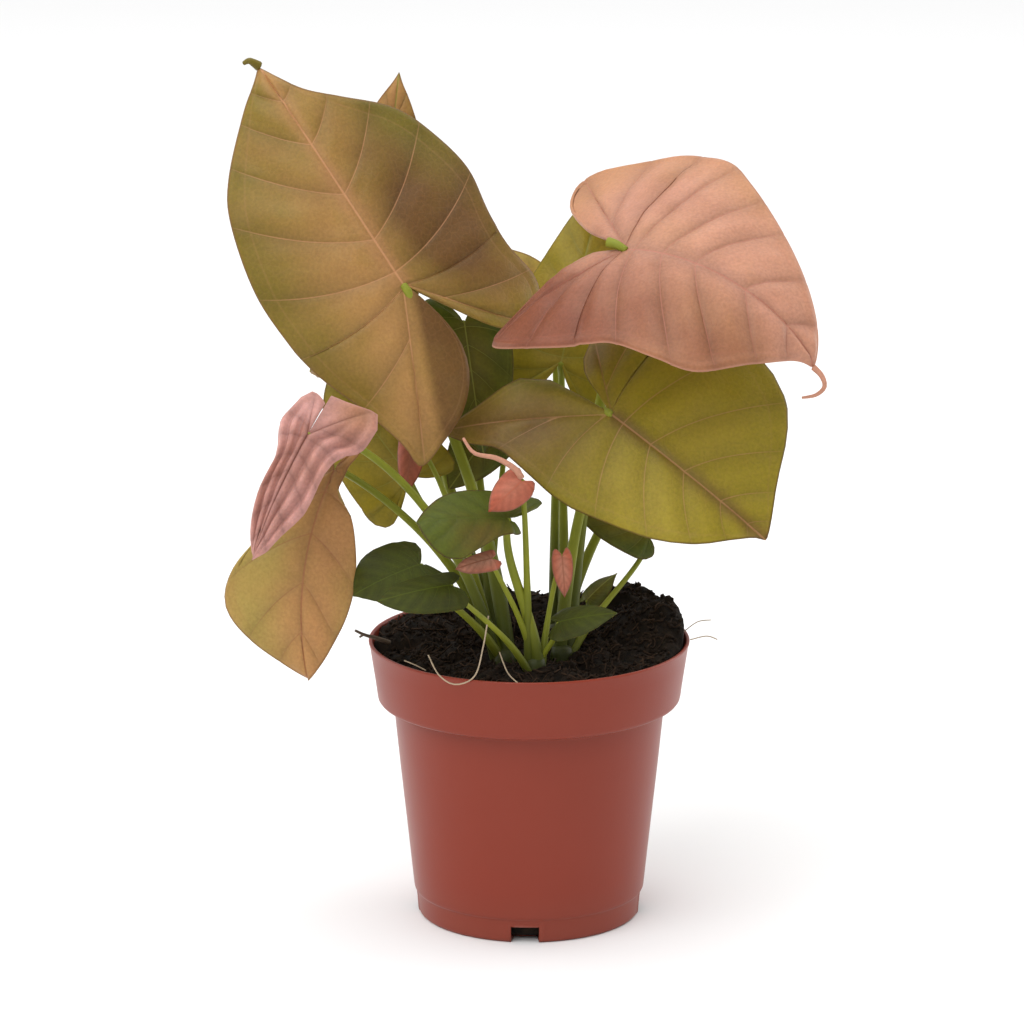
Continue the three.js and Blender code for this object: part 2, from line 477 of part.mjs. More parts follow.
// The curve of one stalk: out of the crown, then up and over to the underside of its blade.
function stalkCurve(shoot, leaf, lean, back, up, index) {
  const frame = midribFrame(leaf);
  const { raised } = midribAt(leaf, frame, 0, 1);
  const turn = index * 2.4;
  const root = new THREE.Vector3(shoot.at[0] + 2.2 * Math.cos(turn), shoot.at[1] + 2.2 * Math.sin(turn), 96);
  const end = frame.joint.clone().addScaledVector(raised, -BLADE_THICKNESS / 2 - GAP - 0.15)
    .addScaledVector(frame.forward, -0.5);
  const rise = end.z - root.z;
  const out = new THREE.Vector3(end.x - root.x, end.y - root.y, 0);
  const first = root.clone().addScaledVector(out, 0.18).add(new THREE.Vector3(0, back, rise * 0.5 + up));
  const approach = raised.clone().multiplyScalar(0.75).addScaledVector(frame.forward, 0.3)
    .add(new THREE.Vector3(0, 0, 0.4)).normalize();
  const second = end.clone().addScaledVector(approach, -lean).add(new THREE.Vector3(0, back, up));
  return new THREE.CubicBezierCurve3(root, first, second, end);
}

// One shoot: a short crown going down into the peat and its stalks, each ending under its blade.
function shootSolid(shoot, extra = 0) {
  const crownPath = new THREE.CatmullRomCurve3([
    new THREE.Vector3(shoot.at[0], shoot.at[1], 82 - extra),
    new THREE.Vector3(shoot.at[0], shoot.at[1], 96),
    new THREE.Vector3(shoot.at[0], shoot.at[1], 109 + extra),
  ]);
  let solid = barSolid(crownPath, (t) => 5.4 - 1.6 * Math.abs(2 * t - 0.7) + extra, 4, 10);
  Object.entries(shoot.bears).forEach(([name, [lean, thick, thin, back = 0, up = 0]], index) => {
    const leaf = LEAVES.find((entry) => entry.name === name);
    const curve = stalkCurve(shoot, leaf, lean, back, up, index);
    const steps = leaf.joint[2] - SOIL.crown > 60 ? STALK_STEPS : STALK_STEPS - 2;
    const radius = (t) => (t < 1 ? thick + (thin - thick) * t : 0.45) + extra;
    solid = solid.add(barSolid(curve, radius, steps, STALK_SIDES));
  });
  return solid;
}

// ---------------------------------------------------------------- pot and peat
// A closed profile of [radius, height] turned about the pot's axis.
function turned(profile, segments) {
  const points = [...profile, profile[0]].map(([r, z]) => new THREE.Vector2(r, z));
  return solidOf(new THREE.LatheGeometry(points, segments).rotateX(Math.PI / 2));
}

// Inside radius of the pot at a height.
function insideRadius(z) {
  if (z < POT.ledgeHeight) return POT.footRadius - POT.wall;
  const foot = POT.footRadius - POT.wall;
  const shoulder = POT.shoulderRadius - POT.wall;
  const band = POT.height - POT.bandHeight;
  if (z <= band) return foot + ((shoulder - foot) * (z - POT.ledgeHeight)) / (band - POT.ledgeHeight);
  const step = POT.bandFootRadius - POT.wall;
  const rise = (z - band - 3) / (POT.bandHeight - 3);
  if (rise < 0) return shoulder + ((step - shoulder) * (z - band)) / 3;
  return step + (POT.rimRadius - POT.lip - step) * rise;
}

function potSolid() {
  const band = POT.height - POT.bandHeight;
  const profile = [
    [0, 0], [POT.footRadius - 1, 0], [POT.footRadius, 1.2],
    [POT.ledgeRadius - 0.9, POT.ledgeHeight - 0.7], [POT.ledgeRadius + 0.6, POT.ledgeHeight + 0.3],
    [POT.shoulderRadius, band - 0.2], [POT.bandFootRadius - 1.6, band],
    [POT.bandFootRadius - 0.4, band + 0.7], [POT.bandFootRadius, band + 2],
    [POT.rimRadius - 0.2, POT.height - 1.2], [POT.rimRadius, POT.height],
    [POT.rimRadius - POT.lip, POT.height], [POT.bandFootRadius - POT.wall, band + 3],
    [POT.shoulderRadius - POT.wall, band], [insideRadius(POT.ledgeHeight), POT.ledgeHeight],
    [insideRadius(0), POT.floor + 1], [insideRadius(0) - 1, POT.floor], [0, POT.floor],
  ];
  let solid = turned(profile, POT.segments);
  for (let i = 0; i < POT.slotCount; i++) {
    const slot = new THREE.BoxGeometry(POT.slotWidth, 2 * POT.slotReach, 2 * POT.slotHeight);
    slot.translate(0, -POT.footRadius, 0).rotateZ(rad(POT.slotTurn + (360 / POT.slotCount) * i));
    solid = solid.subtract(solidOf(slot));
  }
  return solid;
}

// Height of the peat's rough surface: a low dome with lumps, a bank along the rim at the rear and the
// left, and a clump against the rim at the right.
function peatHeight(x, y) {
  const r = Math.hypot(x, y) / POT.rimRadius;
  const turn = Math.atan2(y, x);
  const lumps = Math.sin(x * 0.31 + 1) * Math.sin(y * 0.27 + 2) + 0.6 * Math.sin(x * 0.62 + y * 0.4);
  const dome = SOIL.mound * (1 - r * r) * 0.5 + 0.035 * (x + 0.6 * y);
  const bank = SOIL.bank * Math.exp(-(((turn - 2.3) / 1.2) ** 4)) * THREE.MathUtils.smoothstep(r, 0.5, 0.85);
  const clump = Math.exp(-(((turn - 0.5) / 0.66) ** 4)) * THREE.MathUtils.smoothstep(r, 0.4, 0.8);
  return SOIL.crown + dome + SOIL.roughness * lumps * (1.1 - r) + Math.max(bank, SOIL.heap * clump);
}

function peatSolid() {
  const { rings, spokes, clearance } = SOIL;
  const floor = POT.floor + GAP;
  const band = POT.height - POT.bandHeight;
  const levels = [band + 3, band, POT.ledgeHeight, floor + 2, floor];
  const points = [new THREE.Vector3(0, 0, peatHeight(0, 0))];
  const triangles = [];
  const at = (ring, spoke) => 1 + ring * spokes + (spoke % spokes);
  for (let i = 1; i <= rings; i++)
    for (let j = 0; j < spokes; j++) {
      const turn = (2 * Math.PI * (j + (i % 2) * 0.5)) / spokes;
      const radius = ((POT.rimRadius - POT.lip - clearance - 0.6) * i) / rings;
      const [x, y] = [radius * Math.cos(turn), radius * Math.sin(turn)];
      points.push(new THREE.Vector3(x, y, peatHeight(x, y)));
    }
  for (const z of levels)
    for (let j = 0; j < spokes; j++) {
      const turn = (2 * Math.PI * (j + (rings % 2) * 0.5)) / spokes;
      const radius = insideRadius(z) - clearance - (z === floor ? 1.6 : 0);
      points.push(new THREE.Vector3(radius * Math.cos(turn), radius * Math.sin(turn), z));
    }
  const last = points.push(new THREE.Vector3(0, 0, floor)) - 1;
  const total = rings + levels.length;
  for (let j = 0; j < spokes; j++) {
    triangles.push([0, at(0, j), at(0, j + 1)], [last, at(total - 1, j + 1), at(total - 1, j)]);
    for (let i = 0; i < total - 1; i++)
      triangles.push([at(i, j), at(i + 1, j), at(i + 1, j + 1)], [at(i, j), at(i + 1, j + 1), at(i, j + 1)]);
  }
  return solidOf(geometryFrom(points, triangles));
}

// ---------------------------------------------------------------- assembly
const plant = new THREE.Group();
function add(name, geometry, colour, roughness = 0.5) {
  const material = new THREE.MeshStandardMaterial({ color: colour, roughness, metalness: 0 });
  const mesh = new THREE.Mesh(geometry, material);
  mesh.name = name;
  plant.add(mesh);
}

let peat = peatSolid();
for (const shoot of SHOOTS) {
  add(shoot.name, geometryOf(shootSolid(shoot)), 0x6f8f3a);
  peat = peat.subtract(shootSolid(shoot, GAP));
}
add("pot", geometryOf(potSolid()), 0xa4503c, 0.4);
add("soil", geometryOf(peat), 0x2b211b, 1);
for (const leaf of LEAVES) add(leaf.name, bladeGeometry(leaf), leaf.colour);

export default plant;
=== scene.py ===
"""Dresses the potted arrowhead plant: blades, stalks, peat, pot, loose threads and the stage."""

import math

import bpy
import numpy as np
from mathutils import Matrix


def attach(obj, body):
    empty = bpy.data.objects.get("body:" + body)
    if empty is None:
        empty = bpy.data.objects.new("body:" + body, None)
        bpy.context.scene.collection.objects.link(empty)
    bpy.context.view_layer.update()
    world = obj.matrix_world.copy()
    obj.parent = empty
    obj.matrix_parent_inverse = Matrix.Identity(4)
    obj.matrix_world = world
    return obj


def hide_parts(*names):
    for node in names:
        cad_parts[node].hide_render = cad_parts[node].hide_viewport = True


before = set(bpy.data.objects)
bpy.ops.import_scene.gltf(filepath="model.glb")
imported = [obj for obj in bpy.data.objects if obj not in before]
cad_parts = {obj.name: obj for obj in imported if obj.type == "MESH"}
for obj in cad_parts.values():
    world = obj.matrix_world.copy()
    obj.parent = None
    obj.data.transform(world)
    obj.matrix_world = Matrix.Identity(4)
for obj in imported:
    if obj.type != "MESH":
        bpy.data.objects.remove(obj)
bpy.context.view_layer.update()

bl_info = {
    "name": "Potted Arrowhead Plant",
    "version": (1, 0, 0),
    "blender": (4, 5, 0),
    "location": "3D View > Sidebar > Plant",
    "description": "Makes the leaves, stalks, peat and pot of a potted arrowhead plant",
    "category": "Add Mesh",
}

MM = 0.001


# ---------------------------------------------------------------- the plant, in millimetres and degrees
def blade_shape(
    outline, joint, tip, face, width, lobe, arch=14, hook=0, lobe_arch=14, fold=6, cup=10, spread=0, tuck=0,
    wave=(1, 3, 0.6), bow=0,
):
    """The shape of one blade. It hangs by its joint, points to its tip and faces the way of face; width and
    lobe are how far its halves reach across and back. The outline, width, lobe, fold, cup, spread and tuck
    are one value for both halves, or a list of the left half's and the right's, as seen from the stalk with
    the face up.

    arch and hook: how far the midrib bends down, over its length and near the tip. lobe_arch: the same for
    the lobes. fold: how far each half droops from the midrib. cup: how far it curves down on from there.
    spread: how far the lobes spread. tuck: how far a lobe turns under. wave: height of the margin's waves,
    their number and where they start. bow: how far the midrib bows to the right."""
    halves = dict(outline=outline, width=width, lobe=lobe, fold=fold, cup=cup, spread=spread, tuck=tuck)
    return dict(
        joint=joint, tip=tip, face=face, arch=arch, hook=hook, lobe_arch=lobe_arch, wave=wave, bow=bow,
        **{key: value if isinstance(value, list) else [value, value] for key, value in halves.items()},
    )


def blade_skin(
    ground, flush_colour, vein, flush=(), shade=(), fresh=(), shade_colour="umber", fresh_colour="umber",
    veins=(-0.5, -0.15, 0.1, 0.32, 0.52, 0.7, 0.85), quilt=0.4, pleats=None, ribs=None, hem=0, groove_shade=0.15,
    stain=0.0, rim=0.4, vein_mix=0.6, gloss=0.25, nub=0, tail=None, tail_radius=0, tail_green=False,
):
    """The surface of one blade. Three washes lie over the ground colour: flush, shade and fresh. Flush and
    fresh are the blade's own colours; shade is painted shade, where the blade faces away from the light or
    turns under. Each is a colour and a list of places [across, along, radius, amount].

    veins: where side veins meet the margin, from -1 at the notch, 0 beside the joint, to 1 at the tip.
    quilt: height of the swelling between veins. pleats: height and size of its small folds. ribs: height
    and number of lengthwise folds. hem: height of the rolled margin. groove_shade: how much painted shade
    lies in the grooves along the veins, against a little painted light on the swells between them. stain:
    flush along the midrib. rim: how bright the margin is; low, a thin dark reddish rim, and at 1, on the
    upper right blade, a painted highlight along the rolled margin.
    vein_mix: how much of the vein's colour shows. gloss: how much light the skin throws back. nub: length
    of the stalk's end in the notch. tail: the drawn-out tip's path from the blade's tip, its radius and
    whether it is green."""
    return dict(
        ground=ground, flush_colour=flush_colour, vein=vein, flush=flush, shade=shade, fresh=fresh,
        shade_colour=shade_colour, fresh_colour=fresh_colour, veins=veins, quilt=quilt, pleats=pleats,
        ribs=ribs, hem=hem, groove_shade=groove_shade, stain=stain, rim=rim, vein_mix=vein_mix, gloss=gloss, nub=nub,
        tail=tail, tail_radius=tail_radius, tail_green=tail_green,
    )


# Outlines of half a blade, from the notch round the lobe to the tip. Across, 1 is the half width; along, 1
# is the tip and -1 the end of the lobe.
OUTLINES = {
    "arrowhead": [
        [0.05, -0.22], [0.14, -0.5], [0.3, -0.88], [0.5, -1], [0.7, -0.8], [0.86, -0.45], [0.97, -0.05],
        [1, 0.17], [0.92, 0.42], [0.69, 0.63], [0.32, 0.8], [0.09, 0.92], [0, 1],
    ],
    "long_lobe": [
        [-0.06, -0.12], [-0.13, -0.33], [-0.15, -0.52], [-0.08, -0.7], [0.12, -0.86], [0.4, -0.95],
        [0.65, -1], [0.68, -0.82], [0.8, -0.5], [0.93, -0.22], [1, 0.05], [1, 0.28], [0.86, 0.545],
        [0.68, 0.69], [0.32, 0.865], [0.1, 0.95], [0, 1],
    ],
    "broad_lobe": [
        [0.06, -0.13], [0.2, -0.4], [0.45, -0.84], [0.68, -1.02], [0.9, -0.9], [0.975, -0.65],
        [0.92, -0.25], [0.93, 0.03], [1, 0.25], [0.9, 0.45], [0.74, 0.6], [0.41, 0.73], [0.2, 0.82],
        [0.08, 0.915], [0, 1],
    ],
    "roof": [
        [0.05, -0.2], [0.22, -0.62], [0.5, -1.04], [0.86, -1.2], [1.02, -0.94], [1.06, -0.48],
        [1.04, -0.1], [1, 0.12], [0.85, 0.28], [0.67, 0.45], [0.48, 0.62], [0.28, 0.79], [0.12, 0.92],
        [0, 1],
    ],
    "closed_lobe": [
        [-0.05, -0.16], [-0.08, -0.3], [-0.03, -0.42], [0.125, -0.55], [0.29, -0.77], [0.44, -1],
        [0.6, -0.82], [0.79, -0.45], [0.89, -0.05], [0.85, 0.17], [0.86, 0.42], [0.79, 0.63], [0.42, 0.8],
        [0.12, 0.92], [0, 1],
    ],
    "wide_lobe": [
        [0.06, -0.3], [0.2, -0.75], [0.45, -1], [0.8, -0.95], [1, -0.5], [0.98, -0.05], [0.85, 0.2],
        [0.62, 0.42], [0.45, 0.6], [0.28, 0.78], [0.1, 0.93], [0, 1],
    ],
    "hood_right": [
        [0.03, -0.84], [0.3, -0.88], [0.75, -1], [1, -0.89], [1, -0.47], [0.89, -0.12], [0.64, 0.1],
        [0.59, 0.23], [0.59, 0.38], [0.55, 0.54], [0.32, 0.76], [0.2, 0.9], [0, 1],
    ],
    "hood_left": [
        [0.04, -0.86], [0.22, -0.95], [0.45, -1], [0.75, -0.92], [1, -0.49], [1.02, -0.05], [0.72, 0.16],
        [0.65, 0.24], [0.66, 0.49], [0.44, 0.72], [0.16, 0.92], [0, 1],
    ],
    "shoulder": [
        [0.05, -0.3], [0.1, -0.6], [0.2, -0.88], [0.4, -1], [0.7, -0.85], [0.9, -0.4], [1, 0.12],
        [1, 0.4], [0.88, 0.62], [0.68, 0.75], [0.38, 0.86], [0.1, 0.97], [0, 1],
    ],
    "drawn_lobe": [
        [0.01, -0.15], [0.04, -0.38], [0.12, -0.64], [0.35, -0.78], [0.7, -0.9], [1, -1], [0.98, -0.78],
        [0.86, -0.53], [0.88, -0.2], [0.89, 0.08], [0.8, 0.3], [0.66, 0.55], [0.45, 0.74], [0.2, 0.87],
        [0.05, 0.95], [0, 1],
    ],
    "heart": [
        [0.06, -0.24], [0.19, -0.55], [0.42, -0.93], [0.65, -1], [0.86, -0.7], [0.98, -0.2], [1, 0.12],
        [0.93, 0.4], [0.72, 0.65], [0.38, 0.85], [0.12, 0.96], [0, 1],
    ],
    "spear": [
        [0.2, -0.5], [0.38, -0.85], [0.58, -1], [0.8, -0.75], [0.95, -0.1], [1, 0.18], [0.92, 0.42],
        [0.7, 0.65], [0.36, 0.84], [0.1, 0.95], [0, 1],
    ],
    "neck_right": [
        [0.14, -0.5], [0.3, -0.85], [0.42, -1], [0.42, -0.7], [0.28, -0.2], [0.24, 0.04], [0.28, 0.12],
        [0.68, 0.22], [0.93, 0.38], [1, 0.53], [0.86, 0.69], [0.51, 0.85], [0.2, 0.95], [0, 1],
    ],
    "neck_left": [
        [0.1, -0.5], [0.23, -0.85], [0.34, -1], [0.36, -0.7], [0.24, -0.3], [0.12, -0.05], [0.13, 0.07],
        [0.32, 0.14], [0.5, 0.24], [0.7, 0.38], [0.93, 0.52], [1.03, 0.66], [0.95, 0.76], [0.67, 0.86],
        [0.32, 0.94], [0.12, 0.98], [0, 1],
    ],
    "narrow_drop": [
        [0.1, -0.5], [0.22, -0.85], [0.34, -1], [0.4, -0.6], [0.42, 0.02], [0.6, 0.25], [0.85, 0.48],
        [1, 0.64], [0.9, 0.8], [0.62, 0.91], [0.28, 0.975], [0, 1],
    ],
}

LEAVES = {
    "leaf_upper_left": blade_shape(
        outline=["long_lobe", "broad_lobe"], joint=[-46, -26, 247], tip=[-99, 8, 321],
        face=[-0.1, -0.85, 0.45], width=[47, 50], lobe=[60, 40], hook=25, lobe_arch=12, fold=[2, 18],
        cup=[8, 18], tuck=[50, 6], wave=[1.2, 3, 0.1],
    ),
    "leaf_upper_right": blade_shape(
        outline=["roof", "closed_lobe"], joint=[35, -27, 260], tip=[102, -52, 222], face=[0.3, -0.62, 0.73],
        width=[58, 49], lobe=[49, 47], spread=[0.1, 0.35], arch=76, hook=20, lobe_arch=10, fold=[-2, 6],
        cup=[6, 22], tuck=[20, 10], wave=[1.2, 3, 0.4],
    ),
    "leaf_right": blade_shape(
        outline=["shoulder", "drawn_lobe"], joint=[30, -25, 198], tip=[86, -42, 155], face=[0.1, -0.9, 0.4],
        width=[53, 41], lobe=[26, 50], arch=16, hook=10, lobe_arch=12, fold=[4, 6], cup=[8, 10],
        tuck=[0, 30], wave=[1.2, 3, 0.2],
    ),
    "leaf_lower_left": blade_shape(
        outline=["neck_right", "neck_left"], joint=[-71, -35, 180], tip=[-81, -46, 103],
        face=[-0.1, -1, 0.1], width=[19, 29], lobe=[10, 12], arch=20, hook=10, lobe_arch=8, fold=3,
        cup=[12, 16], wave=[1, 2, 0.3], bow=6,
    ),
    "leaf_folded_left": blade_shape(
        outline=["hood_right", "hood_left"], joint=[-80, -57, 198], tip=[-100, -66, 154],
        face=[-0.25, -0.85, 0.45], width=[21, 13.5], lobe=[20, 16], arch=24, hook=10, lobe_arch=8,
        fold=[6, 8], cup=[26, 20], wave=[1, 3, 0.2],
    ),
    "leaf_back_left": blade_shape(
        outline="spear", joint=[-57, 18, 238], tip=[-48, 24, 316], face=[0, -1, 0.25], width=[20, 18],
        lobe=14, arch=10, lobe_arch=10, wave=[0.8, 2, 0],
    ),
    "leaf_centre_back": blade_shape(
        outline=["wide_lobe", "arrowhead"], joint=[12, 22, 207], tip=[28, 49, 270],
        face=[-0.1, -0.95, 0.35], width=[30, 22], lobe=[18, 16], spread=0.1, hook=10,
    ),
    "leaf_far_back": blade_shape(
        outline="heart", joint=[8, 50, 217], tip=[-14, 60, 243], face=[-0.1, -0.95, 0.35], width=13, lobe=9,
        spread=0.1, hook=10,
    ),
    "leaf_middle_green": blade_shape(
        outline="heart", joint=[-24, 11, 224], tip=[-17, 3, 176], face=[0, -1, 0.2], width=17, lobe=12,
        spread=0.1, hook=10,
    ),
    "leaf_left_green": blade_shape(
        outline="heart", joint=[-45, -4, 170], tip=[-74, 10, 206], face=[-0.1, -0.95, 0.3], width=[22, 17],
        lobe=[12, 10], spread=0.2, hook=10,
    ),
    "leaf_inner_dark": blade_shape(
        outline="heart", joint=[-10, 16, 188], tip=[-30, 9, 161], face=[0.1, -0.9, 0.5], width=[12, 13],
        lobe=7, arch=12, lobe_arch=10, fold=8, wave=[0.6, 2, 0],
    ),
    "leaf_front_low": blade_shape(
        outline=["narrow_drop", "heart"], joint=[-8, -45, 164], tip=[-41, -62, 167],
        face=[-0.15, -0.75, 0.65], width=[16, 15], lobe=[5, 20], spread=[0, 0.1], arch=16, hook=5,
        lobe_arch=4, fold=[4, 8], cup=[8, 14], wave=[0.5, 2, 0.3],
    ),
    "leaf_low_left": blade_shape(
        outline="heart", joint=[-40, -46, 147], tip=[-64, -57, 138], face=[-0.25, -0.65, 0.7],
        width=[17, 20], lobe=7, spread=0.1, arch=18, hook=10, lobe_arch=10, fold=[-6, 10], cup=[6, 16],
        wave=[0.6, 2, 0.3],
    ),
    "leaf_right_dark": blade_shape(
        outline="heart", joint=[44, 12, 143], tip=[15, 15, 156], face=[-0.1, -0.9, 0.5], width=[10, 12],
        lobe=6, arch=10, lobe_arch=10, wave=[0.6, 2, 0],
    ),
    "leaf_small_front": blade_shape(
        outline="heart", joint=[11, -38, 123], tip=[32, -44, 128], face=[0, -0.55, 0.85], width=8, lobe=5,
        lobe_arch=8, fold=8, cup=12, wave=[0.4, 2, 0],
    ),
    "leaf_small_left": blade_shape(
        outline="heart", joint=[-29, -60, 143], tip=[-55, -68, 139], face=[-0.2, -0.6, 0.8], width=[11, 9],
        lobe=6, lobe_arch=8, fold=8, cup=12, wave=[0.4, 2, 0],
    ),
    "leaf_small_right": blade_shape(
        outline="spear", joint=[22, 4, 120], tip=[33, 8, 129], face=[-0.3, -0.6, 0.75], width=5, lobe=3.5,
        arch=20, lobe_arch=8, fold=8, cup=20, wave=[0.6, 2, 0],
    ),
    "leaf_rear_left": blade_shape(
        outline="arrowhead", joint=[-42, 42, 196], tip=[-84, 78, 190], face=[-0.35, 0.5, 0.85], width=32,
        lobe=21, spread=0.15, arch=40, hook=15, fold=8, cup=14, tuck=10, wave=[1, 3, 0.2],
    ),
    "leaf_rear_right": blade_shape(
        outline="arrowhead", joint=[41, 40, 184], tip=[76, 84, 172], face=[0.3, 0.5, 0.85], width=33,
        lobe=24, spread=0.15, arch=42, hook=15, fold=8, cup=14, tuck=10, wave=[1, 3, 0.7],
    ),
    "young_coral": blade_shape(
        outline="spear", joint=[-3, -49, 179], tip=[-15, -51, 168], face=[0.3, -0.85, 0.4], width=[8, 7],
        lobe=4, arch=30, lobe_arch=20, fold=8, cup=40, wave=[0.6, 2, 0],
    ),
    "young_pink": blade_shape(
        outline="spear", joint=[-43, -22, 189], tip=[-45, -24, 168], face=[-0.2, -0.95, 0.2], width=6,
        lobe=4, arch=20, lobe_arch=20, fold=8, cup=30, wave=[0.6, 2, 0],
    ),
    "young_rose": blade_shape(
        outline="spear", joint=[12, -28, 145], tip=[13, -30, 130], face=[0.1, -0.95, 0.2], width=4,
        lobe=3.5, arch=20, lobe_arch=20, fold=4, cup=20, wave=[0.4, 2, 0],
    ),
    "dried_bract": blade_shape(
        outline="spear", joint=[-14, -49, 150], tip=[-27, -53, 147], face=[-0.1, -0.8, 0.6], width=[5, 4],
        lobe=3.5, arch=20, lobe_arch=20, fold=4, cup=14, wave=[0.8, 2, 0],
    ),
}

# Where each shoot stands and the stalks it bears, each with how far behind its blade it bends over, its
# radius at the foot and at the top, and how far its middle is pushed back and up.
SHOOTS = {
    "shoot_left": dict(at=[-9, -25], bears={
        "leaf_upper_left": [80, 2.6, 1.5, 9, 0], "leaf_folded_left": [36, 1.8, 1.1, 0, 20],
        "leaf_left_green": [30, 1.6, 1, 0, 0], "leaf_low_left": [18, 1.5, 1, 0, 0],
        "young_pink": [20, 1.2, 0.8, 0, 0],
    }),
    "shoot_front": dict(at=[2, -34], bears={
        "leaf_front_low": [26, 2.2, 1.3, 0, 0], "leaf_small_front": [8, 1.2, 0.8, 0, 0],
        "leaf_small_left": [8, 1.2, 0.8, 0, 0], "dried_bract": [10, 1.2, 0.8, 0, 0],
        "young_coral": [16, 1.4, 0.9, 0, 0], "young_rose": [10, 1.2, 0.8, 0, 0],
    }),
    "shoot_right": dict(at=[12, -20], bears={
        "leaf_upper_right": [44, 2.6, 1.5, 43, 0], "leaf_right": [40, 2.4, 1.4, 0, 0],
        "leaf_right_dark": [20, 1.3, 0.9, 0, 0], "leaf_small_right": [8, 1.1, 0.8, 0, 0],
    }),
    "shoot_back_left": dict(at=[-14, 2], bears={
        "leaf_lower_left": [36, 1.8, 1.1, 0, 6], "leaf_back_left": [18, 2, 1.2, 0, 0],
        "leaf_middle_green": [40, 1.8, 1.1, 0, 0], "leaf_rear_left": [36, 2.2, 1.3, 0, 0],
        "leaf_inner_dark": [20, 1.4, 0.9, 0, 0],
    }),
    "shoot_back_right": dict(at=[11, 10], bears={
        "leaf_centre_back": [40, 2, 1.2, 0, 0], "leaf_far_back": [26, 1.8, 1.1, 0, 0],
        "leaf_rear_right": [36, 2.2, 1.3, 0, 0],
    }),
}

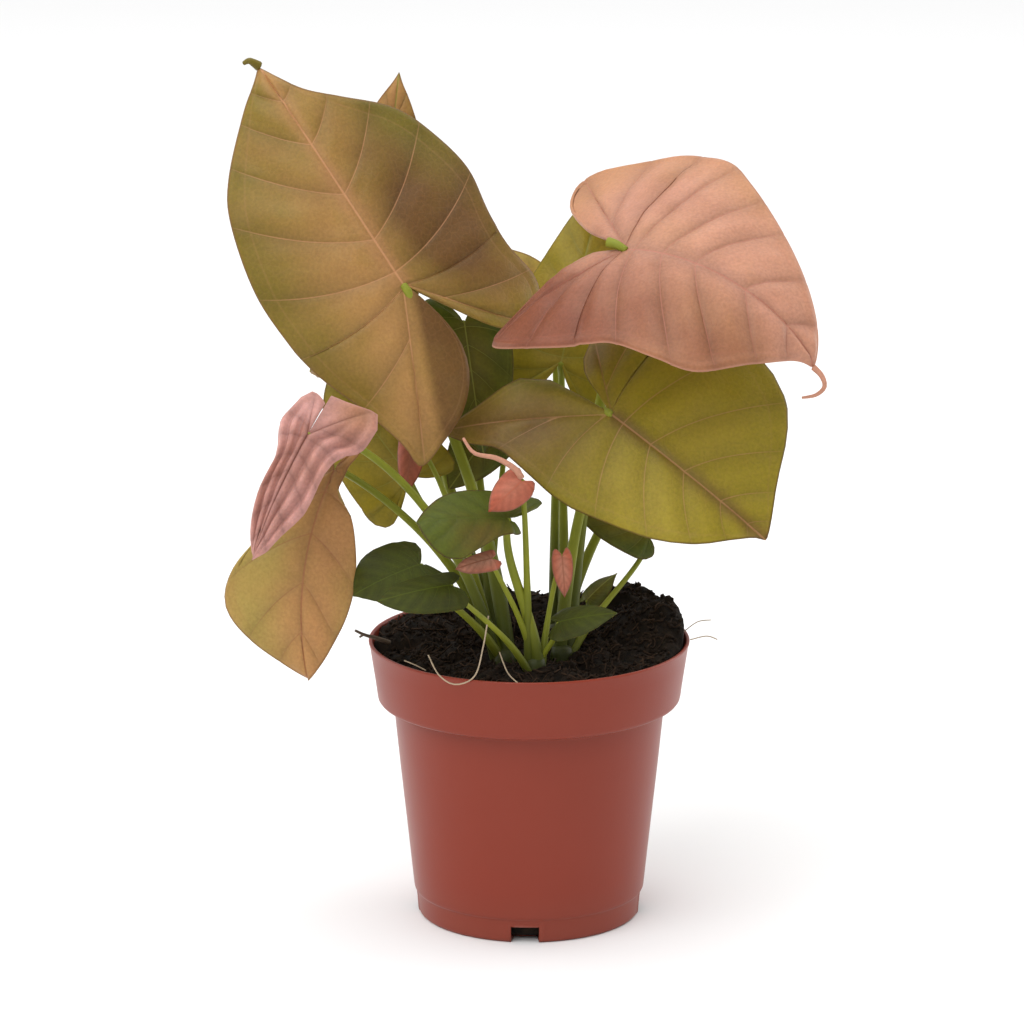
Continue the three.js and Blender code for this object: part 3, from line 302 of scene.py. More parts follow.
# Skins: plain green, deep green, and then every blade.
GREEN = blade_skin(
    ground="leaf_green", flush_colour="olive", vein="pale_vein", quilt=0.4, groove_shade=0.2,
    flush=[[0, 0.3, 0.6, 0.5]],
)
DEEP = blade_skin(
    gloss=0.14, ground="deep_green", flush_colour="leaf_green", vein="leaf_green", quilt=0.6, groove_shade=0.25,
    flush=[[0, 0.3, 0.6, 0.3]],
)
SKINS = {
    "leaf_upper_left": blade_skin(
        ground="olive", flush_colour="tan", vein="rose_vein", quilt=1.1, groove_shade=0.14, stain=0.5,
        veins=[-0.5, -0.25, -0.02, 0.16, 0.36, 0.56, 0.74, 0.88],
        flush=[
            [-0.3, -0.1, 0.5, 0.7], [-0.45, -0.75, 0.35, 0.6], [-0.4, 0.5, 0.3, 0.2],
            [0.25, 0.7, 0.3, 0.35], [0.05, 0.93, 0.2, 0.15], [0.75, -0.5, 0.35, 0.4],
            [0.0, 0.3, 0.25, 0.4],
        ],
        # Painted shade on the right half, which faces away from the light.
        shade=[
            [0.4, 0.22, 0.3, 0.95], [0.55, -0.02, 0.25, 0.75], [0.7, -0.4, 0.4, 0.6],
            [0.9, 0.15, 0.25, 0.5],
        ],
        fresh=[
            [0.75, 0.55, 0.28, 0.75], [0.98, 0.25, 0.25, 0.6], [-0.95, 0.3, 0.35, 0.45],
            [-0.85, -0.35, 0.3, 0.35], [0.6, 0.75, 0.2, 0.5],
        ],
        fresh_colour="moss", nub=6, pleats=[0.45, 4.4], hem=0.3,
        tail=[[0, 0, 0], [-1.8, -1, 1.4], [-3.5, -1.5, 2.2], [-5.5, -1, 1.2]], tail_radius=1.9,
        tail_green=True,
    ),
    "leaf_upper_right": blade_skin(
        ground="sand", flush_colour="salmon", shade_colour="shade_brick", vein="pink_vein", quilt=1.4,
        groove_shade=0.2, stain=0.3, veins=[-0.5, -0.24, -0.02, 0.14, 0.34, 0.5, 0.7, 0.86],
        flush=[
            [-0.3, 0.2, 0.8, 0.9], [-0.7, -0.3, 0.4, 0.6], [0.3, -0.2, 0.4, 0.5], [0.1, 0.9, 0.35, 0.6],
        ],
        # Painted shade over the lower half, which faces down, and a little on the upper half.
        shade=[
            [0.85, -0.45, 0.6, 0.8], [0.4, -0.85, 0.5, 0.8], [0.75, 0.15, 0.45, 0.5],
            [0.5, 0.6, 0.35, 0.45], [0.35, -1.0, 0.3, 0.5], [0.35, 0.05, 0.25, 0.15],
            [-0.45, -0.1, 0.35, 0.2],
        ],
        fresh=[
            [-0.2, 0.1, 0.22, 0.3], [0.45, 0.55, 0.25, 0.5], [-0.85, 0.35, 0.25, 0.45],
            [-0.9, -0.2, 0.2, 0.35],
        ],
        # rim=1.0 paints a highlight along the rolled margin.
        fresh_colour="tan", nub=9, pleats=[0.6, 3.2], hem=0.8, rim=1.0,
        tail=[[0, 0, 0], [3, -1, -3], [4, -1, -7], [1, -1, -10], [-4, -1, -11]], tail_radius=1.2,
    ),
    "leaf_right": blade_skin(
        ground="lime", flush_colour="umber", shade_colour="moss", vein="rose_vein", quilt=0.75,
        groove_shade=0.14, stain=0.75, veins=[-0.5, -0.25, -0.02, 0.2, 0.42, 0.62, 0.8, 0.92],
        flush=[[0.85, -0.75, 0.6, 0.8], [0.4, -0.35, 0.35, 0.5], [-0.3, -0.8, 0.35, 0.7]],
        # Painted shade in moss, with more where the right lobe turns under.
        shade=[[-0.7, -0.3, 0.35, 0.5], [0.9, 0.1, 0.25, 0.4], [0.2, -0.9, 0.3, 0.8]],
        fresh=[[-0.4, 0.4, 0.35, 0.5], [0.4, 0.45, 0.3, 0.5]], fresh_colour="straw", nub=3,
        pleats=[0.25, 5.0], hem=0.2, vein_mix=0.42,
    ),
    "leaf_lower_left": blade_skin(
        ground="tan", flush_colour="tan", vein="rosewood", quilt=0.6, groove_shade=0.12, stain=0.3,
        veins=[-0.5, 0.02, 0.25, 0.48, 0.68, 0.85], shade=[[0, -0.2, 0.3, 0.7]],
        fresh=[
            [0.6, 0.75, 0.4, 0.8], [0.9, 0.4, 0.35, 0.7], [0.4, 0.35, 0.25, 0.5], [-0.9, 0.75, 0.3, 0.5],
        ],
        fresh_colour="khaki", hem=0.2, vein_mix=0.45,
    ),
    "leaf_folded_left": blade_skin(
        ground="mauve", flush_colour="mauve", shade_colour="rosewood", vein="rosewood", quilt=0.6,
        groove_shade=0.36, veins=[-0.5, -0.14, 0.1, 0.3, 0.46, 0.66, 0.84], flush=[[0, 0.2, 0.9, 1.0]],
        # Painted shade along the folds.
        shade=[[0.5, 0.5, 0.4, 0.6], [0.2, -0.1, 0.3, 0.5], [-0.6, -0.3, 0.3, 0.3]],
        fresh=[[-0.6, -0.8, 0.45, 0.7]], fresh_colour="sand", pleats=[0.3, 2.6], hem=0.5, rim=0.8,
        vein_mix=0.22, ribs=[1.3, 2.5],
    ),
    "leaf_back_left": blade_skin(
        ground="olive", flush_colour="tan", vein="pale_vein",
        flush=[[0, 0.8, 0.5, 0.9], [0, 0.2, 0.3, 0.4]],
    ),
    "leaf_centre_back": blade_skin(
        ground="lime", flush_colour="straw", fresh_colour="tan", vein="pale_vein",
        flush=[[0.2, 0.7, 0.5, 0.9]], fresh=[[0.8, 0.5, 0.4, 0.5]],
    ),
    "leaf_far_back": blade_skin(
        ground="straw", flush_colour="tan", vein="pale_vein", flush=[[0, 0.5, 0.6, 0.9]],
    ),
    "leaf_middle_green": GREEN,
    "leaf_left_green": blade_skin(
        ground="lime", flush_colour="khaki", vein="pale_vein", quilt=0.6, flush=[[0, 0.1, 0.5, 0.3]],
    ),
    "leaf_inner_dark": GREEN,
    "leaf_front_low": blade_skin(
        ground="leaf_green", flush_colour="umber", vein="leaf_green", groove_shade=0.2,
        flush=[[-0.5, 0.2, 0.5, 0.5]],
    ),
    "leaf_low_left": DEEP,
    "leaf_right_dark": GREEN,
    "leaf_small_front": DEEP,
    "leaf_small_left": DEEP,
    "leaf_small_right": GREEN,
    "leaf_rear_left": blade_skin(
        ground="olive", flush_colour="tan", vein="rose_vein", quilt=0.8, flush=[[0, 0.2, 0.6, 0.9]],
    ),
    "leaf_rear_right": blade_skin(
        ground="lime", flush_colour="tan", vein="rose_vein", quilt=0.8, flush=[[0, 0.3, 0.5, 0.5]],
    ),
    "young_coral": blade_skin(
        ground="coral", flush_colour="salmon", vein="coral", quilt=0.3, flush=[[0, 0.3, 0.4, 0.25]],
        tail=[[12, 3, 12], [9.5, 2, 15.7], [3, 1, 19.8], [-5, 1, 21.7], [-9, 2, 27]], tail_radius=1.3,
    ),
    "young_pink": blade_skin(
        ground="coral", flush_colour="rosewood", vein="rosewood", quilt=0.3, flush=[[0, 0.3, 0.5, 0.9]],
    ),
    "young_rose": blade_skin(
        ground="coral", flush_colour="salmon", vein="rosewood", quilt=0.3, flush=[[0, 0.3, 0.6, 0.6]],
    ),
    "dried_bract": blade_skin(
        ground="coral", flush_colour="salmon", vein="rosewood", quilt=0.5, flush=[[0, 0.3, 0.8, 1.0]],
    ),
}
WASHES = ("flush", "shade", "fresh")

# Colours, linear. The upper right blade's shade colour and the stalks' foot and root colours are
# painted shade.
COLOURS = {
    "olive": (0.19, 0.13, 0.014), "tan": (0.4, 0.2, 0.07), "sand": (0.43, 0.2, 0.09),
    "salmon": (0.49, 0.235, 0.155), "shade_brick": (0.21, 0.07, 0.038), "pink_vein": (0.44, 0.165, 0.115),
    "lime": (0.26, 0.2, 0.012), "khaki": (0.33, 0.235, 0.055), "straw": (0.38, 0.29, 0.035),
    "moss": (0.12, 0.095, 0.005), "umber": (0.12, 0.055, 0.012), "rosewood": (0.27, 0.085, 0.045),
    "mauve": (0.57, 0.285, 0.245), "coral": (0.42, 0.1, 0.052), "leaf_green": (0.075, 0.095, 0.006),
    "deep_green": (0.034, 0.038, 0.003), "rose_vein": (0.52, 0.25, 0.12), "pale_vein": (0.28, 0.27, 0.05),
    "underside": (0.28, 0.3, 0.09), "stalk": (0.27, 0.28, 0.022), "stalk_foot_shade": (0.055, 0.06, 0.006),
    "stalk_root_shade": (0.022, 0.018, 0.006), "stalk_top": (0.34, 0.36, 0.05), "stalk_patch": (0.06, 0.09, 0.008),
    "dust": (0.2, 0.12, 0.09), "peat_dark": (0.003, 0.0022, 0.0015), "peat_brown": (0.02, 0.012, 0.007),
    "peat_fibre": (0.06, 0.034, 0.02), "dry_thread": (0.55, 0.42, 0.28), "bark": (0.12, 0.08, 0.05),
}

# The left and the right half of a blade.
SIDE_SIGN = (-1, 1)

# Noise and curves.
LATTICE = 97
LATTICE_ORIGIN = 1000.5
CURVE_SAMPLES = 40  # for each point of a curve

# Midrib of a blade.
MIDRIB_STEPS = 40
HOOK_POWER = 7

# Rows of a blade, which run along its side veins from the midrib to the margin.
MARGIN_SAMPLES = 241
ROOT_POWER = 1.6  # how much the rows' roots crowd towards the joint
LOBE_VEIN_REACH = 0.6  # how far out along a lobe's vein rows start
VEIN_SAG = 0.07  # how far side veins curve back, as a share of their length
TUCK_REACH = 0.6  # where a lobe has turned by its whole tuck angle, as a share of the half width
MARGIN_VEIN = 0.88  # where the vein along the margin lies, as a share of a row
FAR = 99.0  # distance given where there is no vein

# Relief of a blade.
FULL_SIZE = 60.0  # blades shorter than this have shallower relief
FULL_CELL = 12  # cells between side veins that are narrower than this swell less
PUCKERS = ((0, 9.0, 0.5), (5, 4.5, 0.22))  # seed, size and height
SIDE_GROOVE = (0.7, 0.16)  # width and depth along each kind of vein
MIDRIB_GROOVE = (0.9, 0.3)
LOBE_GROOVE = (0.9, 0.2)
MARGIN_GROOVE = (0.8, 0.08)
HEM_PLACE = 1.8  # from the margin
HEM_WIDTH = 1.3
STAIN_WIDTH = 3.2

# Grid of a blade, for small, middle and large ones: where rows lie between two side veins and how many even
# steps there are along a row; and where a row has more points.
ROW_SHARES = (
    (0, 0.5),
    (0, 0.12, 0.5, 0.88),
    (0, 0.035, 0.09, 0.18, 0.3, 0.44, 0.58, 0.7, 0.82, 0.91, 0.965),
)
COLUMN_STEPS = (6, 12, 26)
MARGIN_COLUMNS = (0.015, 0.04, 0.88, 0.94, 0.97, 0.985)
LARGE_BLADE = 75  # blades longer than this are large
MIDDLE_BLADE = 30
TAIL_RINGS = 16
TAIL_SIDES = 8
TAIL_THINNING = 0.6  # how much of its radius a tail loses towards its end
TAIL_CLEARANCE = 9.0  # distance given from a tail to every vein

# Plate of a blade, with the width and height of the ridges below its veins.
HALF_THICKNESS = 0.22
MIDRIB_RIDGE = (1.3, 0.9)
SIDE_RIDGE = (0.8, 0.25)

# Stalks and crowns.
STALK_RINGS = 44
STALK_SIDES = 12
STALK_DENT = 0.3  # depth of the channel, as a share of the radius
NUB_RINGS = 14
STALK_TURN = 2.4  # angle from one stalk's foot to the next round the crown, radians
STALK_SPREAD = 2.2  # how far from the crown's axis a stalk starts
STALK_FOOT = 96.0
CROWN_RINGS = 12
CROWN_SIDES = 20
CROWN_HEIGHTS = (86, 108)
CROWN_RADIUS = 5.0

# Pot. The slots lie at the foot, a quarter turn apart, the first a little left of the front.
FRONT = -90
SLOT_SHIFT = 2.2
SLOT_COUNT = 4
SLOT_HALF_WIDTH = 5.3
FOOT_RADIUS = 41.6
SLOT_TOP = 6.2
SLOT_FLOOR_RADIUS = 33.6
SLOT_FRAME_WIDTH = 2.6  # degrees
SLOT_FRAME_HEIGHTS = (0.5, 8.3)
SLOT_FRAME_RISE = 0.3
SLOT_COLUMNS = 7
WALL_COLUMNS = 56  # from one slot to the next
BESIDE_SLOT = 1.6  # degrees from a slot's side to the next column, and from there to the one after

# Peat.
PEAT_RINGS = 84
PEAT_SPOKES = 300
PEAT_RADIUS = 57.9
CRUMB_REACH = 56.5  # how far from the axis crumbs lie
STRAND_REACH = 54.0  # how far from the axis the middles of fibres lie
STRAND_LIMIT = 57.0  # and their ends
PEAT_WALL = [
    [57.4, 100.0], [54.6, 86.6], [48.8, 80.0], [44.9, 36.0], [41.9, 10.2], [39.8, 8.8], [39.6, 3.4],
    [37.8, 1.9],
]
LITTER_RISE = 0.25  # how far the middle of a crumb or a fibre stands above the peat

# Loose dry roots: the points each one passes through, and its radius. The twig has one side shoot.
LOOSE_ROOTS = [
    ([[-15, -48, 128], [-17, -52, 117], [-20, -56, 107.5], [-27, -56.5, 104.5], [-33, -53, 107],
      [-37, -44, 112]], 0.28),
    ([[-11, -40, 112], [-8, -48, 106.5], [-4, -54, 104]], 0.25),
    ([[60, -6, 107], [66, -8, 109], [70, -9, 108]], 0.22),
    ([[58, 2, 108], [63, 1, 112], [68, 0, 113]], 0.2),
    ([[-46, -34, 107], [-42, -38, 106.5], [-38, -40, 105]], 0.22),
]
TWIG = [[-52, -10, 107], [-57, -14, 110], [-61, -17, 112], [-64.5, -18, 114]]
TWIG_SHOOT = [[-58, -15, 110.4], [-61, -13, 111], [-63, -13, 110]]

# Stage, in metres: name, place, aim, watts and size of each soft light, and the camera.
FLOOR_HALF_SIZE = 30.0
SKY_STRENGTH = 0.52
LAMPS = [
    ("key", (-0.8, -1.2, 1.8), (0, 0, 0.16), 32, 2.0),
    ("left_wing", (-1.5, 0.7, 0.45), (0, 0, 0.15), 9, 1.2),
    ("right_wing", (1.5, 0.7, 0.45), (0, 0, 0.15), 11, 1.2),
    ("overhead", (0, 1.1, 2.6), (0, 1.1, 0), 78, 4.6),
]
CAMERA_PLACE = (-0.0064, -2.0, 0.676)
CAMERA_DIP = 14.61
CAMERA_LENS = 195.5


# ---------------------------------------------------------------- small helpers
def rad(degrees):
    return degrees * math.pi / 180


def unit(v):
    v = np.asarray(v, float)
    return v / np.maximum(np.linalg.norm(v, axis=-1, keepdims=True), 1e-12)


def bell(distance, width, height=1.0):
    """height * exp(-(distance / width)^2)."""
    return height * np.exp(-((distance / width) ** 2))


def settings():
    return bpy.context.scene.plant_settings


def lattice_noise(x, y, seed, cell):
    """Smooth noise in -1..1: random values on a square lattice of that cell, blended with smoothstep
    weights."""
    values = np.random.default_rng(seed).uniform(-1, 1, (LATTICE, LATTICE))
    gx, gy = np.asarray(x) / cell + LATTICE_ORIGIN, np.asarray(y) / cell + LATTICE_ORIGIN
    ix, iy = np.floor(gx).astype(int), np.floor(gy).astype(int)
    fx, fy = gx - ix, gy - iy
    fx, fy = fx * fx * (3 - 2 * fx), fy * fy * (3 - 2 * fy)
    west, east = ix % LATTICE, (ix + 1) % LATTICE
    south, north = iy % LATTICE, (iy + 1) % LATTICE
    low = values[west, south] * (1 - fx) + values[east, south] * fx
    high = values[west, north] * (1 - fx) + values[east, north] * fx
    return low * (1 - fy) + high * fy


def smooth_curve(points, count):
    """Points along a Catmull-Rom curve through the given ones, spaced evenly along its length."""
    points = np.asarray(points, float)
    padded = np.vstack([points[:1], points, points[-1:]])
    t = np.linspace(0, len(points) - 1, CURVE_SAMPLES * len(points))
    i = np.minimum(t.astype(int), len(points) - 2)
    f = (t - i)[:, None]
    p0, p1, p2, p3 = padded[i], padded[i + 1], padded[i + 2], padded[i + 3]
    v0, v1 = (p2 - p0) / 2, (p3 - p1) / 2
    cubic, square = 2 * p1 - 2 * p2 + v0 + v1, -3 * p1 + 3 * p2 - 2 * v0 - v1
    line = cubic * f ** 3 + square * f ** 2 + v0 * f + p1
    run = np.concatenate([[0], np.cumsum(np.linalg.norm(np.diff(line, axis=0), axis=1))])
    at = np.linspace(0, run[-1], count)
    return np.stack([np.interp(at, run, line[:, k]) for k in range(points.shape[1])], axis=1)


def add_piece(name, points, faces, material, node=None, marks=None):
    """A smooth mesh from points in millimetres and faces, with one number per point for each mark."""
    mesh = bpy.data.meshes.new(name)
    mesh.from_pydata((np.asarray(points) * MM).tolist(), [], [list(f) for f in faces])
    for label, values in (marks or {}).items():
        layer = mesh.attributes.new(label, "FLOAT", "POINT")
        layer.data.foreach_set("value", np.asarray(values, np.float32).ravel())
    mesh.polygons.foreach_set("use_smooth", np.ones(len(mesh.polygons), bool))
    mesh.materials.append(material)
    mesh.update()
    piece = bpy.data.objects.new(name, mesh)
    bpy.context.scene.collection.objects.link(piece)
    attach(piece, "root")
    if node:
        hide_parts(node)


def ring_faces(rings, sides, flip=False):
    """Quads between closed rings of points, numbered ring by ring."""
    r, c = np.meshgrid(np.arange(rings - 1), np.arange(sides), indexing="ij")
    d = (c + 1) % sides
    quads = np.stack([r * sides + c, r * sides + d, (r + 1) * sides + d, (r + 1) * sides + c], axis=-1)
    quads = quads.reshape(-1, 4)
    return quads[:, ::-1] if flip else quads


def fan_faces(ring_start, count, centre, flip=False):
    """Triangles from a ring of points, numbered on from ring_start, to a centre point."""
    j = ring_start + np.arange(count)
    k = ring_start + (np.arange(count) + 1) % count
    first, second = (k, j) if flip else (j, k)
    return np.stack([first, second, np.full(count, centre)], axis=1).tolist()


def tube(path, radius, sides, dent=0.0):
    """A closed round bar: rings of a circle of the given radius carried along the path on a frame that
    doesn't twist, the ends drawn to a point. dent hollows one side, as on a channelled stalk. Also gives the
    share of the way along of every point."""
    path = np.asarray(path, float)
    rings = len(path)
    radius = np.broadcast_to(np.asarray(radius, float), (rings,))
    along = unit(np.gradient(path, axis=0))
    side = np.zeros_like(path)
    guess = np.array([0.3, 1.0, 0.2])
    for i, t in enumerate(along):
        guess = unit(guess - t * np.dot(guess, t))
        side[i] = guess
    other = np.cross(along, side)
    turn = np.arange(sides) * 2 * math.pi / sides
    reach = 1 - dent * np.maximum(0, np.cos(turn)) ** 6
    across, over = (np.cos(turn) * reach)[None, :, None], (np.sin(turn) * reach)[None, :, None]
    ring = side[:, None] * across + other[:, None] * over
    points = (path[:, None] + ring * radius[:, None, None]).reshape(-1, 3)
    first_end = path[:1] - along[:1] * radius[0] * 0.4
    last_end = path[-1:] + along[-1:] * radius[-1] * 0.4
    points = np.vstack([points, first_end, last_end])
    faces = ring_faces(rings, sides).tolist()
    faces += fan_faces(0, sides, len(points) - 2, flip=True)
    faces += fan_faces((rings - 1) * sides, sides, len(points) - 1)
    share = np.repeat(np.linspace(0, 1, rings), sides)
    return points, faces, np.concatenate([share, [0, 1]])


def join(parts):
    """Several (points, faces, mark) sets as one."""
    points, faces, marks, start = [], [], [], 0
    for p, f, m in parts:
        points.append(p)
        faces += [[i + start for i in face] for face in f]
        marks.append(m)
        start += len(p)
    return np.vstack(points), faces, np.concatenate(marks)


# ---------------------------------------------------------------- leaf surface
def midrib_turn(shape, share):
    """How far the midrib has turned down at a share of its length: arch evenly, hook as share^7."""
    return -rad(shape["arch"]) * share - rad(shape["hook"]) * share ** HOOK_POWER


def midrib_frame(shape):
    """The midrib turns down by arch degrees over its length, and by hook more near the tip; its chord is
    then laid from the joint to the tip. above is the blade's normal at the joint."""
    angle = midrib_turn(shape, (np.arange(MIDRIB_STEPS) + 0.5) / MIDRIB_STEPS)
    along = np.concatenate([[0], np.cumsum(np.cos(angle))]) / MIDRIB_STEPS
    up = np.concatenate([[0], np.cumsum(np.sin(angle))]) / MIDRIB_STEPS
    tilt = math.atan2(up[-1], along[-1])
    joint = np.array(shape["joint"], float)
    chord = np.array(shape["tip"], float) - joint
    forward = unit(chord)
    face = np.array(shape["face"], float)
    raised = unit(face - forward * np.dot(face, forward))
    return dict(
        along=along, up=up, tilt=tilt, joint=joint, forward=forward, raised=raised,
        right=np.cross(forward, raised), above=-math.sin(-tilt) * forward + math.cos(-tilt) * raised,
        length=np.linalg.norm(chord) / math.hypot(along[-1], up[-1]),
    )


def bent_points(shape, rib, half, x, y, lift):
    """Lays flat points, x across and y along, on the bent blade: y follows the midrib's curve, or a
    circle in the lobes; x follows a circle that starts at the fold angle and bends by the cup angle."""
    lobe, width, length, tilt = shape["lobe"][half], shape["width"][half], rib["length"], rib["tilt"]
    s = np.where(y >= 0, y / length, y / lobe)
    ahead, back = np.clip(s, 0, 1), np.minimum(s, 0) * lobe
    knots = np.linspace(0, 1, MIDRIB_STEPS + 1)
    bend = rad(shape["lobe_arch"]) / lobe
    angle = np.where(s >= 0, midrib_turn(shape, ahead), -bend * back)
    along = np.where(s >= 0, np.interp(ahead, knots, rib["along"]) * length, np.sin(bend * back) / bend)
    up = np.where(s >= 0, np.interp(ahead, knots, rib["up"]) * length, -(1 - np.cos(bend * back)) / bend)
    ct, st = math.cos(-tilt), math.sin(-tilt)
    ahead_of_joint, over_joint = along * ct - up * st, along * st + up * ct
    bow = np.where(s > 0, shape["bow"] * 4 * s * (1 - s), 0)
    point = rib["joint"] + ahead_of_joint[..., None] * rib["forward"] + over_joint[..., None] * rib["raised"]
    point = point + bow[..., None] * rib["right"]
    normal_ahead, normal_up = -np.sin(angle - tilt), np.cos(angle - tilt)
    normal = normal_ahead[..., None] * rib["forward"] + normal_up[..., None] * rib["raised"]
    fold, cup = rad(shape["fold"][half]), rad(shape["cup"][half]) / width
    out = (np.sin(fold + cup * x) - math.sin(fold)) / cup
    drop = -(np.cos(fold + cup * x) - math.cos(fold)) / cup
    side = rib["right"] * SIDE_SIGN[half]
    return point + out[..., None] * side + (lift - drop)[..., None] * normal


def margin_curve(shape, half):
    """The outline of half a blade as evenly spaced points from the notch to the tip."""
    return smooth_curve(OUTLINES[shape["outline"][half]], MARGIN_SAMPLES)


def edge_points(shape, rib, half, share):
    """The flat margin at a share of its run from the notch to the tip."""
    margin = margin_curve(shape, half)
    samples = np.linspace(0, 1, MARGIN_SAMPLES)
    x, y = np.interp(share, samples, margin[:, 0]), np.interp(share, samples, margin[:, 1])
    x = (x + shape["spread"][half] * np.maximum(0, -y)) * shape["width"][half]
    return x, y * np.where(y >= 0, rib["length"], shape["lobe"][half])


def flat_points(shape, rib, half, run, v):
    """Flat place of (run, v): run goes along the margin, -1 at the notch, 0 beside the joint, 1 at the
    tip; v goes from the vein the row starts on to the margin. Rows ahead of the joint start on the
    midrib at run^1.6 of its length, those in a lobe on the lobe's vein, out along it and back. Also gives
    the row's length, its share of the margin's run and the lobe's end."""
    margin = margin_curve(shape, half)
    lobe_end = np.argmin(margin[:, 1]) / (MARGIN_SAMPLES - 1)
    beside = np.nonzero(margin[:, 1] < 0)[0][-1] / (MARGIN_SAMPLES - 1)
    u = np.where(run >= 0, beside + (1 - beside) * run, beside + (beside - lobe_end) * 2 * run)
    u = np.where(run < -0.5, lobe_end * 2 * (1 + run), u)
    edge_x, edge_y = edge_points(shape, rib, half, u)
    end_x, end_y = edge_points(shape, rib, half, np.array(lobe_end))
    out = np.where(run < 0, LOBE_VEIN_REACH * (1 - np.abs(2 * run + 1)), 0)
    root_x, root_y = end_x * out, end_y * out + np.maximum(run, 0) ** ROOT_POWER * rib["length"]
    reach = np.hypot(edge_x - root_x, edge_y - root_y)
    sag = VEIN_SAG * np.clip(2 * run + 1, 0, 1) * reach * 4 * v * (1 - v)
    x, y = root_x + (edge_x - root_x) * v, root_y + (edge_y - root_y) * v - sag
    return x, y, reach, u, (end_x, end_y)


def vein_runs(skin):
    """Where side veins reach the margin, with the notch and the tip, as runs from -1 to 1."""
    return np.array([-1.0, *skin["veins"], 1.0])


def vein_cells(shape, skin, rib, half, run, v):
    """The number of the cell between two side veins that each point lies in, the share of the way across
    it, its width there and the distance from the nearer vein. The notch and the tip aren't veins."""
    veins = vein_runs(skin)
    cell = np.clip(np.searchsorted(veins, run + 1e-9, side="right") - 1, 0, len(veins) - 2)
    share = (run - veins[cell]) / (veins[cell + 1] - veins[cell])
    here_x, here_y, *_ = flat_points(shape, rib, half, veins[cell], v)
    next_x, next_y, *_ = flat_points(shape, rib, half, veins[cell + 1], v)
    gap = np.hypot(next_x - here_x, next_y - here_y)
    nearest = np.minimum(share, 1 - share) * gap
    nearest = np.where((cell == 0) & (share < 0.5), FAR, nearest)
    nearest = np.where((cell == len(veins) - 2) & (share > 0.5), FAR, nearest)
    return cell, share, gap, nearest


def lobe_vein_distance(x, y, end):
    """Flat distance from the vein that runs from the joint to the lobe's end."""
    off = np.abs(x * end[1] - y * end[0]) / np.hypot(*end)
    past = x * end[0] + y * end[1]
    return np.where((past > 0) & (past < 1.2 * (end[0] ** 2 + end[1] ** 2)), off, FAR)


def turned_under(shape, half, x, y, lift):
    """The part of a lobe past the line from the joint to its end turns under along a circle. Also gives
    how far past that line each point lies."""
    width, lobe = shape["width"][half], shape["lobe"][half]
    out = (0.5 + shape["spread"][half]) * width
    line = math.hypot(out, lobe)
    past = np.maximum(0, (-y * out - x * lobe) / line) * (y < 0)
    if shape["tuck"][half]:
        bend = rad(shape["tuck"][half]) / (TUCK_REACH * width)
        shift = past - np.sin(bend * past) / bend
        x, y = x + shift * lobe / line, y + shift * out / line
        lift = lift - (1 - np.cos(bend * past)) / bend
    return x, y, lift, past


def swelling(skin, seed, x, y, v, reach, cells, lobe_vein, size):
    """Height of the blade between its veins: quilt * (sin(pi * share of the cell) * sin(pi * v))^0.7, with
    small folds across each cell and puckers."""
    cell, share, gap, _ = cells
    swell = skin["quilt"] * size * np.sin(math.pi * share) ** 0.7
    swell = swell * np.sin(math.pi * np.clip(v * 1.05, 0, 1)) ** 0.7 * np.clip(gap / FULL_CELL, 0, 1)
    pucker = sum(lattice_noise(x, y, seed + step, cell_size) * height for step, cell_size, height in PUCKERS)
    if skin["pleats"]:
        height, spacing = skin["pleats"]
        folds = lattice_noise(share * gap + 37 * cell, v * reach * 0.2, seed + 9, spacing)
        folds = folds * np.sin(math.pi * share) ** 0.8 * np.clip(v * 6, 0, 1) * np.clip((1 - v) * 6, 0, 1)
        swell = swell + height * folds * np.clip(gap / 10, 0, 1)
    off_vein = np.clip(np.minimum(x / 8, lobe_vein / 5), 0, 1)
    return swell + pucker * skin["quilt"] * size * off_vein * (1 - 0.5 * v)


def wash_marks(shape, skin, half, x, y, past):
    """How much of each wash lies at each point: a sum of bells at the wash's places, with more painted
    shade on the part of a steeply tucked lobe that turns under, away from the light.
    """
    width = shape["width"][half]
    across = SIDE_SIGN[half] * x / width
    washes = {}
    for wash in WASHES:
        total = np.zeros_like(x)
        for at_x, at_y, radius, amount in skin[wash]:
            total += amount * np.exp(-((across - at_x) ** 2 + (y - at_y) ** 2) / radius ** 2)
        washes[wash] = total
    # Painted shade on the part of the lobe that turns under.
    if shape["tuck"][half] > 25:
        washes["shade"] = washes["shade"] + 0.9 * np.clip(past / 4 - 0.2, 0, 1)
    return washes


